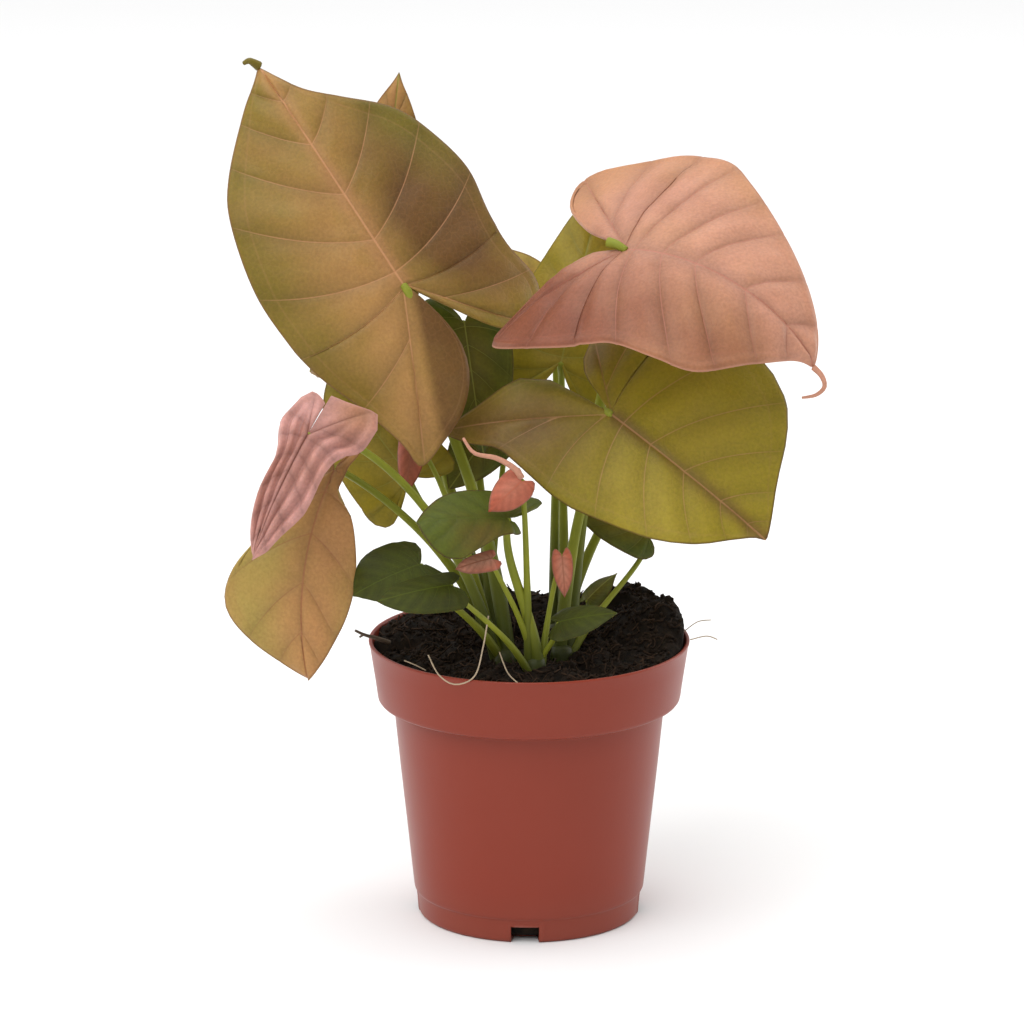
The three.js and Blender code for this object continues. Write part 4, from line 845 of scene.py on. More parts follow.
def blade_half(shape, skin, rib, half, run, v):
    """Points and marks of half a blade. The surface waves at the margin, by height * v^2 * sin(2 pi (waves
    * share of the margin's run + start)), its lobe turns under, it swells between the side veins and is
    grooved by a bell along each of its veins."""
    flat_x, flat_y, reach, u, end = flat_points(shape, rib, half, run, v)
    height, waves, start = shape["wave"]
    lift = height * v * v * np.sin(2 * math.pi * (waves * u + start + 0.5 * half))
    x, y, lift, past = turned_under(shape, half, flat_x, flat_y, lift)
    cells = vein_cells(shape, skin, rib, half, run, v)
    _, share, _, side_vein = cells
    lobe_vein = lobe_vein_distance(flat_x, flat_y, end)
    size = min(1.0, rib["length"] / FULL_SIZE)
    seed = int(abs(shape["joint"][0] * 7 + shape["joint"][2])) + 11 * half
    swell = swelling(skin, seed, flat_x, flat_y, v, reach, cells, lobe_vein, size)
    ahead = flat_y >= 0
    rim = (1 - v) * reach
    margin_vein = np.abs(v - MARGIN_VEIN) * reach
    groove = bell(side_vein, *SIDE_GROOVE) + bell(flat_x, *MIDRIB_GROOVE) * ahead
    groove = groove + bell(lobe_vein, *LOBE_GROOVE) + bell(margin_vein, *MARGIN_GROOVE)
    # Painted light on the swells between the side veins and painted shade in the grooves along them; the
    # ribs' folds add painted shade in their valleys.
    swell_shading = np.sin(math.pi * share) ** 0.8 * np.clip(v * 5, 0, 1)
    if skin["ribs"]:
        rib_height, rib_count = skin["ribs"]
        folds = np.sin(2 * math.pi * rib_count * v)
        folds = folds * np.clip(1 - run, 0, 0.3) * np.clip(run + 0.4, 0, 0.3) * 11
        swell = swell + rib_height * folds
        swell_shading = swell_shading * (0.6 + 0.4 * folds)
    hem = bell(rim - HEM_PLACE, HEM_WIDTH, skin["hem"]) * np.clip(1 - np.abs(run), 0, 0.2) * 5
    swell = swell * np.clip(rim / 2.5, 0, 1) + hem
    points = bent_points(shape, rib, half, x, y, lift + swell - groove * size)
    along = np.where(ahead, flat_y / rib["length"], flat_y / shape["lobe"][half])
    washes = wash_marks(shape, skin, half, flat_x, along, past)
    midrib = np.where(ahead, np.abs(flat_x), np.hypot(flat_x, flat_y))
    washes["flush"] = washes["flush"] + bell(midrib, STAIN_WIDTH, skin["stain"]) * ahead
    marks = dict(
        side_vein=np.minimum(side_vein, lobe_vein * 0.7), midrib=midrib, rim=rim, margin_vein=margin_vein,
        swell_shading=np.clip(swell_shading, 0, 1), flat_x=SIDE_SIGN[half] * flat_x, flat_y=flat_y,
        **{wash: np.clip(total, 0, 1) for wash, total in washes.items()},
    )
    return points, marks


def blade_grid(skin, fine):
    """Rows and columns of half a blade: rows packed closer beside the side veins, and the rows behind a
    lobe's end the mirror of those ahead of it; columns packed closer at the midrib and the margin."""
    veins = np.unique(np.concatenate([vein_runs(skin), [-0.5, 0.0]]))
    shares = np.array(ROW_SHARES[fine])
    run = np.concatenate([a + (b - a) * shares for a, b in zip(veins[:-1], veins[1:]) if a >= -0.5])
    run = np.unique(np.round(np.concatenate([run, -1 - run[run <= 0]]), 5))
    v = np.concatenate([np.linspace(0, 1, COLUMN_STEPS[fine] + 1), MARGIN_COLUMNS])
    return run, np.unique(np.round(v, 4))


def shared_numbers(run, wide):
    """Point numbers of the two grids: both halves share the midrib, and rows that start at the same place
    on a lobe's vein share their first point."""
    rows = len(run)
    joint_row = int(np.argmin(np.abs(run)))
    left = np.arange(rows * wide).reshape(rows, wide)
    right = left + rows * wide
    for r in range(joint_row):
        mirror = int(np.argmin(np.abs(run - (-1 - run[r]))))
        for grid in (left, right):
            grid[r, 0] = grid[max(r, mirror), 0]
    left[joint_row:, 0] = right[joint_row:, 0]
    left[0, 0] = right[0, 0] = right[joint_row, 0]
    return left, right


def point_normals(points, quads):
    """The area-weighted mean normal of the faces round each point."""
    tris = np.vstack([quads[:, [0, 1, 2]], quads[:, [0, 2, 3]]])
    tris = tris[(tris[:, 0] != tris[:, 1]) & (tris[:, 1] != tris[:, 2]) & (tris[:, 2] != tris[:, 0])]
    a, b, c = points[tris[:, 0]], points[tris[:, 1]], points[tris[:, 2]]
    facing = np.cross(b - a, c - a)
    normal = np.zeros_like(points)
    for corner in range(3):
        np.add.at(normal, tris[:, corner], facing)
    return unit(normal)


def blade(shape, skin, fine):
    """The whole blade: a grid for each half, both sharing the midrib, set off along its normals into a
    thin plate that is thickest along the midrib and the veins below. Also gives the tip."""
    rib = midrib_frame(shape)
    run, v = blade_grid(skin, fine)
    wide = len(v)
    count = len(run) * wide
    gu, gv = np.meshgrid(run, v, indexing="ij")
    halves = [blade_half(shape, skin, rib, half, gu, gv) for half in (0, 1)]
    tip_at = 2 * count
    tip = bent_points(shape, rib, 1, np.array(0.0), np.array(rib["length"]), np.array(0.0))
    middle = np.vstack([h[0].reshape(-1, 3) for h in halves] + [tip])
    marks = {k: np.concatenate([h[1][k].ravel() for h in halves]) for k in halves[0][1]}
    marks = {k: np.append(m, m[count - wide]) for k, m in marks.items()}
    left, right = shared_numbers(run, wide)
    faces = []
    for grid, flip in ((left, True), (right, False)):
        corners = [grid[:-1, :-1], grid[:-1, 1:], grid[1:, 1:], grid[1:, :-1]]
        quads = np.stack(corners, axis=-1).reshape(-1, 4)
        at_tip = np.full(wide - 1, tip_at)
        ends = np.stack([grid[-1, :-1], grid[-1, 1:], at_tip, at_tip], axis=-1)
        faces += [quads[:, ::-1], ends[:, ::-1]] if flip else [quads, ends]
    quads = np.vstack(faces)
    normal = point_normals(middle, quads)
    thick = (HALF_THICKNESS * np.clip(marks["rim"] / 1.2, 0.25, 1))[:, None]
    taper = np.clip(1.05 - marks["flat_y"] / rib["length"], 0.15, 1)
    ridge = bell(marks["midrib"], *MIDRIB_RIDGE) * taper + bell(marks["side_vein"], *SIDE_RIDGE)
    ridge = ridge[:, None] * min(1, rib["length"] / FULL_SIZE)
    points = np.vstack([middle + normal * thick, middle - normal * (thick + ridge)])
    under = len(middle)
    border = [*left[0, ::-1], *right[0, 1:], *right[1:, -1], tip_at, *left[:0:-1, -1]]
    walls = [[a, a + under, b + under, b] for a, b in zip(border, border[1:] + border[:1])]
    faces = []
    for quad in quads.tolist():
        ring = list(dict.fromkeys(quad))
        if len(ring) > 2:
            faces += [ring, [i + under for i in ring[::-1]]]
    faces += walls
    used = np.unique(np.concatenate([np.array(f) for f in faces]))
    place = np.full(len(points), -1)
    place[used] = np.arange(len(used))
    faces = [[int(place[i]) for i in f] for f in faces]
    both = {k: np.concatenate([m, m])[used] for k, m in marks.items()}
    both["under"] = np.repeat([0.0, 1.0], under)[used]
    return points[used], faces, both, tip


# ---------------------------------------------------------------- materials
def new_material(name):
    material = bpy.data.materials.new(name)
    material.use_nodes = True
    tree = material.node_tree
    tree.nodes.clear()
    out = tree.nodes.new("ShaderNodeOutputMaterial")
    shader = tree.nodes.new("ShaderNodeBsdfPrincipled")
    tree.links.new(shader.outputs["BSDF"], out.inputs["Surface"])
    return material, tree, shader


def feed(tree, socket, value):
    """Gives a socket a value, or links another node's output to it."""
    if isinstance(value, bpy.types.NodeSocket):
        tree.links.new(value, socket)
    else:
        socket.default_value = value


def set_inputs(tree, made, inputs):
    """Feeds a node's inputs, given by name or by number."""
    for key, value in inputs.items():
        feed(tree, made.inputs[key], value)


def add_node(tree, kind, inputs=None, **props):
    """Adds a node, sets its properties and then its inputs."""
    made = tree.nodes.new(kind)
    for key, value in props.items():
        setattr(made, key, value)
    set_inputs(tree, made, inputs or {})
    return made


def math_node(tree, operation, a, b, clamp=False):
    return add_node(tree, "ShaderNodeMath", {0: a, 1: b}, operation=operation, use_clamp=clamp).outputs[0]


def multiply(tree, a, b):
    return math_node(tree, "MULTIPLY", a, b)


def mix_colour(tree, factor, a, b, blend="MIX"):
    made = add_node(tree, "ShaderNodeMix", data_type="RGBA", blend_type=blend)
    for key, value in (("Factor", factor), ("A", a), ("B", b)):
        feed(tree, next(s for s in made.inputs if s.name == key and s.enabled), value)
    return next(s for s in made.outputs if s.enabled)


def map_range(tree, value, start, end, low, high, smooth=False):
    """low at start, high at end, straight or smooth between."""
    inputs = {"Value": value, "From Min": start, "From Max": end, "To Min": low, "To Max": high}
    kind = "SMOOTHSTEP" if smooth else "LINEAR"
    return add_node(tree, "ShaderNodeMapRange", inputs, interpolation_type=kind).outputs["Result"]


def fade(tree, value, start, end):
    """1 below start, 0 above end, smooth between."""
    return map_range(tree, value, start, end, 1.0, 0.0, smooth=True)


def noise(tree, place, scale, detail, roughness=0.5):
    inputs = {"Vector": place, "Scale": scale, "Detail": detail, "Roughness": roughness}
    return add_node(tree, "ShaderNodeTexNoise", inputs).outputs["Fac"]


def bump(tree, height, strength, distance):
    inputs = {"Height": height, "Strength": strength, "Distance": distance}
    return add_node(tree, "ShaderNodeBump", inputs).outputs[0]


def place_on_object(tree):
    return add_node(tree, "ShaderNodeTexCoord").outputs["Object"]


def mark(tree, name):
    made = add_node(tree, "ShaderNodeAttribute", attribute_name=name, attribute_type="GEOMETRY")
    return made.outputs["Fac"]


def opaque(tint, factor=1.0):
    return (*[c * factor for c in tint], 1.0)


def colour(name):
    return opaque(COLOURS[name])


def group_of(name, inputs, outputs):
    """A shader node group, or the one already made. inputs are the defaults of its numbers, with None for a
    vector; outputs are the names of the numbers it gives."""
    if name in bpy.data.node_groups:
        return bpy.data.node_groups[name], None, None
    group = bpy.data.node_groups.new(name, "ShaderNodeTree")
    for label, default in inputs.items():
        kind = "NodeSocketVector" if default is None else "NodeSocketFloat"
        socket = group.interface.new_socket(label, in_out="INPUT", socket_type=kind)
        if default is not None:
            socket.default_value = default
    for label in outputs:
        group.interface.new_socket(label, in_out="OUTPUT", socket_type="NodeSocketFloat")
    return group, group.nodes.new("NodeGroupInput").outputs, group.nodes.new("NodeGroupOutput")


def vein_group():
    """Masks of a leaf's veins from their distances in mm: midrib, side veins, the vein along the margin
    and the fine net between them."""
    inputs = {"Midrib": 0.0, "Side Vein": 0.0, "Margin Vein": 0.0, "Rim": 0.0, "Width": 0.5, "Flat": None}
    group, given, result = group_of("Leaf Veins", inputs, ["Veins", "Net", "Edge"])
    if given is None:
        return group
    side = fade(group, given["Side Vein"], 0.0, multiply(group, given["Width"], 2.4))
    side = multiply(group, side, map_range(group, given["Rim"], 1.0, 14.0, 0.3, 0.9))
    middle = fade(group, given["Midrib"], 0.2, multiply(group, given["Width"], 3.4))
    margin = multiply(group, fade(group, given["Margin Vein"], 0.1, 0.6), 0.14)
    veins = math_node(group, "MAXIMUM", math_node(group, "MAXIMUM", side, middle), margin)
    cells = add_node(
        group, "ShaderNodeTexVoronoi", {"Vector": given["Flat"], "Scale": 0.36}, feature="DISTANCE_TO_EDGE",
    )
    net = fade(group, cells.outputs["Distance"], 0.0, 0.12)
    set_inputs(group, result, {"Veins": veins, "Net": net, "Edge": fade(group, given["Rim"], 0.1, 0.9)})
    return group


def mottle_group():
    """Uneven colour of living tissue: broad patches and fine specks, both 0..1."""
    group, given, result = group_of("Tissue Mottle", {"Scale": 60.0, "Seed": 0.0}, ["Patches", "Specks"])
    if given is None:
        return group
    inputs = {0: place_on_object(group), 1: given["Seed"]}
    place = add_node(group, "ShaderNodeVectorMath", inputs, operation="ADD").outputs[0]
    patches, specks = noise(group, place, given["Scale"], 3.0), noise(group, place, 900.0, 2.0)
    set_inputs(group, result, {"Patches": patches, "Specks": specks})
    return group


def use_group(tree, group, inputs):
    return add_node(tree, "ShaderNodeGroup", inputs, node_tree=group).outputs


def leaf_material(name, skin, size, seed):
    """Ground colour under three soft washes, the shade wash painted shade; painted shade in the grooves along
    the veins and painted light on the swells between them; fine pale veins, a thin rim, dark on most blades
    and a painted highlight on the upper right one, and a paler underside."""
    material, tree, shader = new_material(name)
    flat = {"X": mark(tree, "flat_x"), "Y": mark(tree, "flat_y"), "Z": float(seed)}
    veins = use_group(tree, vein_group(), {
        "Midrib": mark(tree, "midrib"), "Side Vein": mark(tree, "side_vein"), "Rim": mark(tree, "rim"),
        "Margin Vein": mark(tree, "margin_vein"), "Width": 0.17 * max(0.5, min(1.0, size / 80)),
        "Flat": add_node(tree, "ShaderNodeCombineXYZ", flat).outputs[0],
    })
    mottle = use_group(tree, mottle_group(), {"Scale": 55.0, "Seed": seed * 0.37})
    patches = math_node(tree, "SUBTRACT", mottle["Patches"], 0.5)
    base = colour(skin["ground"])
    # Flush and fresh are the blade's own colours; the shade wash is painted shade.
    for wash, spread in (("flush", 1.0), ("fresh", 0.7), ("shade", 0.6)):
        if skin[wash]:
            amount = math_node(tree, "ADD", mark(tree, wash), multiply(tree, patches, spread), clamp=True)
            base = mix_colour(tree, amount, base, colour(skin[wash + "_colour"]))
    # Random specks, times painted shade in the grooves along the veins and a little painted light on the
    # swells between them.
    specked = map_range(tree, mottle["Specks"], 0.3, 0.7, 0.88, 1.07)
    dark = multiply(tree, specked, map_range(tree, mark(tree, "swell_shading"), 0.0, 1.0, 1.0 - skin["groove_shade"], 1.05))
    specks_and_shading = add_node(tree, "ShaderNodeCombineColor", {0: dark, 1: dark, 2: dark}).outputs[0]
    base = mix_colour(tree, 1.0, base, specks_and_shading, "MULTIPLY")
    base = mix_colour(tree, multiply(tree, veins["Net"], 0.035), base, colour(skin["vein"]))
    base = mix_colour(tree, multiply(tree, veins["Veins"], skin["vein_mix"]), base, colour(skin["vein"]))
    # The rim: a thin dark margin on most blades; on the upper right blade, a painted highlight along the
    # rolled margin.
    rim = opaque(COLOURS[skin["flush_colour"]], skin["rim"])
    base = mix_colour(tree, multiply(tree, veins["Edge"], 0.7), base, rim)
    under = [0.55 * a + 0.45 * b for a, b in zip(COLOURS[skin["ground"]], COLOURS["underside"])]
    base = mix_colour(tree, multiply(tree, mark(tree, "under"), 0.75), base, opaque(under))
    height = multiply(tree, mottle["Specks"], 0.35)
    height = math_node(tree, "SUBTRACT", height, multiply(tree, veins["Net"], 0.3))
    set_inputs(tree, shader, {
        "Base Color": base, "Normal": bump(tree, height, 0.3, 0.0003),
        "Roughness": map_range(tree, mottle["Patches"], 0.3, 0.7, 0.4, 0.55),
        "Specular IOR Level": skin["gloss"], "Subsurface Weight": 0.08,
        "Subsurface Radius": (0.004, 0.002, 0.0008), "Subsurface Scale": 0.3,
    })
    return material


def stalk_material():
    """Yellow green with painted shade towards the foot, darkest and brownish where it leaves the peat;
    paler towards the blade, mottled.
    """
    material, tree, shader = new_material("stalk_tissue")
    share = mark(tree, "share")
    mottle = use_group(tree, mottle_group(), {"Scale": 90.0, "Seed": 3.1})
    # Painted shade from the middle down to the foot, darkest where the stalk leaves the peat.
    base = mix_colour(tree, fade(tree, share, 0.05, 0.42), colour("stalk"), colour("stalk_foot_shade"))
    base = mix_colour(tree, fade(tree, share, 0.0, 0.12), base, colour("stalk_root_shade"))
    base = mix_colour(tree, map_range(tree, share, 0.45, 1.0, 0.0, 0.35), base, colour("stalk_top"))
    base = mix_colour(tree, multiply(tree, mottle["Patches"], 0.55), base, colour("stalk_patch"))
    set_inputs(tree, shader, {
        "Base Color": base, "Normal": bump(tree, mottle["Specks"], 0.2, 0.0003), "Roughness": 0.5,
        "Specular IOR Level": 0.2, "Subsurface Weight": 0.1, "Subsurface Radius": (0.004, 0.003, 0.001),
        "Subsurface Scale": 0.3,
    })
    return material


def pot_material(tint):
    """Satin plastic with a fine moulded grain, faint scuffs and a little dust near the floor."""
    material, tree, shader = new_material("pot_plastic")
    place = place_on_object(tree)
    cloud = noise(tree, place, 14.0, 4.0)
    lighter = opaque([min(1, c * 1.2 + 0.008) for c in tint])
    base = mix_colour(tree, map_range(tree, cloud, 0.35, 0.7, 0.0, 0.22), opaque(tint), lighter)
    height = add_node(tree, "ShaderNodeSeparateXYZ", {0: place}).outputs["Z"]
    dust = multiply(tree, map_range(tree, height, 0.0, 0.02, 0.18, 0.0), cloud)
    set_inputs(tree, shader, {
        "Base Color": mix_colour(tree, dust, base, colour("dust")),
        "Normal": bump(tree, noise(tree, place, 1400.0, 2.0), 0.12, 0.0002),
        "Roughness": map_range(tree, cloud, 0.3, 0.7, 0.3, 0.42), "Specular IOR Level": 0.3,
    })
    return material


def peat_material():
    """Damp peat: near black, with browner crumbs and fibres."""
    material, tree, shader = new_material("peat")
    clod = noise(tree, place_on_object(tree), 260.0, 6.0, 0.7)
    tone = map_range(tree, clod, 0.35, 0.68, 0.0, 1.0)
    base = mix_colour(tree, tone, colour("peat_dark"), colour("peat_brown"))
    base = mix_colour(tree, multiply(tree, mark(tree, "share"), 0.8), base, colour("peat_fibre"))
    set_inputs(tree, shader, {
        "Base Color": base, "Normal": bump(tree, clod, 0.9, 0.0012), "Roughness": 0.85,
        "Specular IOR Level": 0.12,
    })
    return material


def dry_material(name, roughness):
    """Dry fibre: one colour broken up by streaks."""
    material, tree, shader = new_material(name)
    streak = noise(tree, place_on_object(tree), 300.0, 3.0)
    base = mix_colour(tree, streak, opaque(COLOURS[name], 0.6), colour(name))
    set_inputs(tree, shader, {"Base Color": base, "Roughness": roughness})
    return material


# ---------------------------------------------------------------- settings
class PlantSettings(bpy.types.PropertyGroup):
    quilting: bpy.props.FloatProperty(
        name="Quilting", description="How much the blades swell between their veins", default=1.0,
    )
    pot_tint: bpy.props.FloatVectorProperty(
        name="Pot Colour", description="Colour of the pot's plastic", default=(0.225, 0.03, 0.0125), size=3,
        subtype="COLOR",
    )
    rim_radius: bpy.props.FloatProperty(
        name="Rim Radius", description="Outside radius of the pot's rim", default=0.06, unit="LENGTH",
    )
    crumbs: bpy.props.IntProperty(name="Crumbs", description="Loose crumbs on the peat", default=1500, min=0)
    strands: bpy.props.IntProperty(name="Strands", description="Fibres on the peat", default=420, min=0)
    seed: bpy.props.IntProperty(name="Seed", description="Random seed of the peat", default=7)
    floor_tint: bpy.props.FloatVectorProperty(
        name="Floor Colour", description="Colour of the floor", default=(0.83, 0.83, 0.83), size=3,
        subtype="COLOR",
    )


# ---------------------------------------------------------------- blades
def with_tail(skin, tip, points, faces, marks):
    """The blade with its drawn-out tip added: a thinning bar of plain tissue, clear of all veins."""
    path = smooth_curve(np.array(skin["tail"], float) + tip, TAIL_RINGS)
    radius = skin["tail_radius"] * (1 - TAIL_THINNING * np.linspace(0, 1, TAIL_RINGS))
    bar, bar_faces, _ = tube(path, radius, TAIL_SIDES)
    faces = faces + [[i + len(points) for i in f] for f in bar_faces]
    green = float(skin["tail_green"])
    plain = {"flush": 1.0 - green, "fresh": green, "shade": 0.0, "under": 0.0, "swell_shading": 1.0}
    marks = {k: np.append(m, np.full(len(bar), plain.get(k, TAIL_CLEARANCE))) for k, m in marks.items()}
    return np.vstack([points, bar]), faces, marks


def make_blades(names):
    """Makes the blade of each named leaf, on a finer grid the longer it is."""
    for name in names:
        shape = LEAVES[name]
        skin = {**SKINS[name], "quilt": SKINS[name]["quilt"] * settings().quilting}
        size = np.linalg.norm(np.subtract(shape["tip"], shape["joint"]))
        fine = 2 if size > LARGE_BLADE else 1 if size > MIDDLE_BLADE else 0
        points, faces, marks, tip = blade(shape, skin, fine)
        if skin["tail"]:
            points, faces, marks = with_tail(skin, tip, points, faces, marks)
        tissue = name + "_tissue"
        material = leaf_material(tissue, skin, size, sum(map(ord, name)) % 89)
        add_piece(name + "_blade", points, faces, material, name, marks)


class PLANT_OT_large_blades(bpy.types.Operator):
    """Add the five large blades at the front."""
    bl_idname = "plant.large_blades"
    bl_label = "Large Blades"

    def execute(self, context):
        make_blades([
            "leaf_upper_left", "leaf_upper_right", "leaf_right", "leaf_lower_left", "leaf_folded_left",
        ])
        return {"FINISHED"}


class PLANT_OT_back_blades(bpy.types.Operator):
    """Add the blades behind the large ones."""
    bl_idname = "plant.back_blades"
    bl_label = "Back Blades"

    def execute(self, context):
        make_blades([
            "leaf_back_left", "leaf_centre_back", "leaf_far_back", "leaf_middle_green", "leaf_left_green",
            "leaf_rear_left", "leaf_rear_right",
        ])
        return {"FINISHED"}


class PLANT_OT_low_blades(bpy.types.Operator):
    """Add the small green blades near the peat."""
    bl_idname = "plant.low_blades"
    bl_label = "Low Blades"

    def execute(self, context):
        make_blades([
            "leaf_inner_dark", "leaf_front_low", "leaf_low_left", "leaf_right_dark", "leaf_small_front",
            "leaf_small_left", "leaf_small_right",
        ])
        return {"FINISHED"}


class PLANT_OT_young_blades(bpy.types.Operator):
    """Add the very young and the dried pink blades."""
    bl_idname = "plant.young_blades"
    bl_label = "Young Blades"

    def execute(self, context):
        make_blades(["young_coral", "young_pink", "young_rose", "dried_bract"])
        return {"FINISHED"}


# ---------------------------------------------------------------- stalks
def stalk_path(at, shape, lean, back, up, index):
    """A cubic curve out of the crown and up to the underside of the blade. Its first handle stands halfway
    up; its second lies as far behind the blade as lean says. back and up move both."""
    rib = midrib_frame(shape)
    above, forward = rib["above"], rib["forward"]
    turn = index * STALK_TURN
    x, y = at[0] + STALK_SPREAD * math.cos(turn), at[1] + STALK_SPREAD * math.sin(turn)
    root = np.array([x, y, STALK_FOOT])
    end = rib["joint"] - 0.5 * above - 0.3 * forward
    out = end - root
    first = root + np.array([out[0] * 0.18, out[1] * 0.18 + back, out[2] * 0.5 + up])
    approach = unit(above * 0.75 + forward * 0.3 + np.array([0, 0, 0.4]))
    second = end - approach * lean + np.array([0, back, up])
    t = np.linspace(0, 1, STALK_RINGS)[:, None]
    return (1 - t) ** 3 * root + 3 * (1 - t) ** 2 * t * first + 3 * (1 - t) * t ** 2 * second + t ** 3 * end


def nub(shape, length):
    """The stalk's swollen end, lying in the notch behind the joint: a bar that widens away from it."""
    rib = midrib_frame(shape)
    knots = [(0.3, 0.5), (0.5 * length, 0.8), (length, 2.6)]
    path = [rib["joint"] - back * rib["forward"] - down * rib["above"] for back, down in knots]
    radius = np.linspace(1.3, 2.0, NUB_RINGS)
    points, faces, _ = tube(smooth_curve(path, NUB_RINGS), radius, STALK_SIDES, STALK_DENT)
    return points, faces, np.ones(len(points))


class PLANT_OT_stalks(bpy.types.Operator):
    """Add the leaf stalks, one piece for each shoot."""
    bl_idname = "plant.stalks"
    bl_label = "Stalks"

    def execute(self, context):
        material = stalk_material()
        t = np.linspace(0, 1, STALK_RINGS)
        sheath = 0.5 * np.clip(1 - t / 0.4, 0, 1) ** 0.7
        collar = 0.35 * bell(t - 0.98, 0.02)
        crown_radius = CROWN_RADIUS - 1.4 * np.linspace(-1, 1, CROWN_RINGS) ** 2
        for name, shoot in SHOOTS.items():
            parts = []
            for index, (leaf_name, facts) in enumerate(shoot["bears"].items()):
                lean, foot, top, back, up = facts
                path = stalk_path(shoot["at"], LEAVES[leaf_name], lean, back, up, index)
                radius = foot + (top - foot) * t + sheath + collar
                parts.append(tube(path, radius, STALK_SIDES, STALK_DENT))
                if SKINS[leaf_name]["nub"]:
                    parts.append(nub(LEAVES[leaf_name], SKINS[leaf_name]["nub"]))
            crown = [[*shoot["at"], z] for z in np.linspace(*CROWN_HEIGHTS, CROWN_RINGS)]
            points, faces, _ = tube(crown, crown_radius, CROWN_SIDES)
            parts.append((points, faces, np.zeros(len(points))))
            points, faces, share = join(parts)
            add_piece(name + "_stalks", points, faces, material, name, dict(share=share))
        return {"FINISHED"}


# ---------------------------------------------------------------- pot
def pot_columns(half):
    """Where the columns of the pot's wall stand, in degrees: some across each slot, whose half width is
    given, one close by each of its sides, and the rest spaced evenly to the next slot. Also gives how far
    each column is from the middle of the nearest slot."""
    turns = []
    for k in range(SLOT_COUNT):
        middle = FRONT - SLOT_SHIFT + 90 * k
        turns += [*(middle + np.linspace(-half, half, SLOT_COLUMNS))]
        turns += [middle - half - BESIDE_SLOT, middle + half + BESIDE_SLOT]
        start = half + 2 * BESIDE_SLOT
        turns += [*(middle + np.linspace(start, 90 - start, WALL_COLUMNS))]
    turns = np.sort(np.mod(turns, 360))
    away = [np.abs((turns - FRONT + SLOT_SHIFT - 90 * k + 180) % 360 - 180) for k in range(SLOT_COUNT)]
    return turns, np.min(away, axis=0)


def pot_shell(rim):
    """A profile [radius, height] turned about the axis, with the cells inside each slot left out and the
    slot's sides, top and inner edge closed between the outer and the inner wall."""
    outer = [
        [0, 0], [20, 0], [33.6, 0], [40.4, 0], [41.1, 0.25], [41.5, 0.8], [41.65, 1.6], [41.95, 6.2],
        [42.2, 8.0], [42.3, 8.6], [42.45, 8.95], [42.75, 9.25], [43.0, 9.55], [43.2, 10.0], [43.35, 10.8],
        [45.9, 35], [48.4, 58], [50.6, 80], [50.75, 82.1], [51.1, 82.6], [53.4, 82.8], [55.4, 82.95],
        [56.1, 83.3], [56.55, 83.9], [56.75, 84.8], [57.6, 91], [58.8, 99], [rim - 0.35, 104.6],
        [rim - 0.05, 105.2], [rim, 105.6], [rim - 0.25, 106],
    ]
    inner = [
        [rim - 0.8, 106], [rim - 1.3, 105.8], [rim - 1.5, 105.2], [57.2, 99], [55.5, 86.5], [55.1, 85.8],
        [52, 85.3], [49.9, 84.9], [49.4, 84], [49.2, 80], [44.6, 35], [41.9, 10.4], [40.8, 9.4], [40.5, 6.2],
        [40.2, 2.8], [39.4, 1.7], [38.6, 1.4], [33.6, 1.4], [20, 1.4], [0, 1.4],
    ]
    rows = np.array(outer[1:] + inner[:-1], float)
    inner_start = len(outer) - 1
    half = math.degrees(SLOT_HALF_WIDTH / FOOT_RADIUS)
    turns, away = pot_columns(half)
    count = len(turns)
    angle = np.radians(turns)
    height = np.repeat(rows[:, 1:], count, axis=1)
    low, high = SLOT_FRAME_HEIGHTS
    beside_slot = (away > half) & (away < half + SLOT_FRAME_WIDTH)
    outside = (np.arange(len(rows)) < inner_start)[:, None]
    radius = rows[:, :1] + SLOT_FRAME_RISE * (beside_slot & outside & (height > low) & (height < high))
    points = np.stack([radius * np.cos(angle), radius * np.sin(angle), height], axis=-1).reshape(-1, 3)
    points = np.vstack([points, [[0, 0, 0], [0, 0, inner[-1][1]]]])
    cut = [i for i, (r, z) in enumerate(rows) if z <= SLOT_TOP and r >= SLOT_FLOOR_RADIUS]
    cut_outer = [i for i in cut if i < inner_start]
    cut_inner = [i for i in cut if i >= inner_start]
    row_cut = np.zeros(len(rows) - 1, bool)
    row_cut[cut_outer[:-1] + cut_inner[:-1]] = True
    inside = away < half + 1e-6
    cell_cut = inside & np.roll(inside, -1)
    faces = ring_faces(len(rows), count)[~(row_cut[:, None] & cell_cut[None]).ravel()].tolist()
    faces += fan_faces(0, count, len(points) - 2, flip=True)
    faces += fan_faces((len(rows) - 1) * count, count, len(points) - 1)
    for i in range(count):
        j = (i + 1) % count
        if cell_cut[i]:
            a, b = cut_outer[-1] * count, cut_inner[0] * count
            faces.append([a + j, b + j, b + i, a + i])
            a, b = cut_outer[0] * count, cut_inner[-1] * count
            faces.append([a + i, b + i, b + j, a + j])
        if cell_cut[i] != cell_cut[i - 1]:
            side = [k * count + i for k in cut]
            faces.append(side[::-1] if cell_cut[i] else side)
    return points, faces


class PLANT_OT_pot(bpy.types.Operator):
    """Add the moulded pot with its drainage slots."""
    bl_idname = "plant.pot"
    bl_label = "Pot"

    def execute(self, context):
        points, faces = pot_shell(settings().rim_radius / MM)
        add_piece("pot_shell", points, faces, pot_material(settings().pot_tint), "pot")
        return {"FINISHED"}


# ---------------------------------------------------------------- peat
def smooth_step(value, start, end):
    """3 t^2 - 2 t^3, where t is the share of the way from start to end, kept within 0..1."""
    t = np.clip((value - start) / (end - start), 0, 1)
    return t * t * (3 - 2 * t)


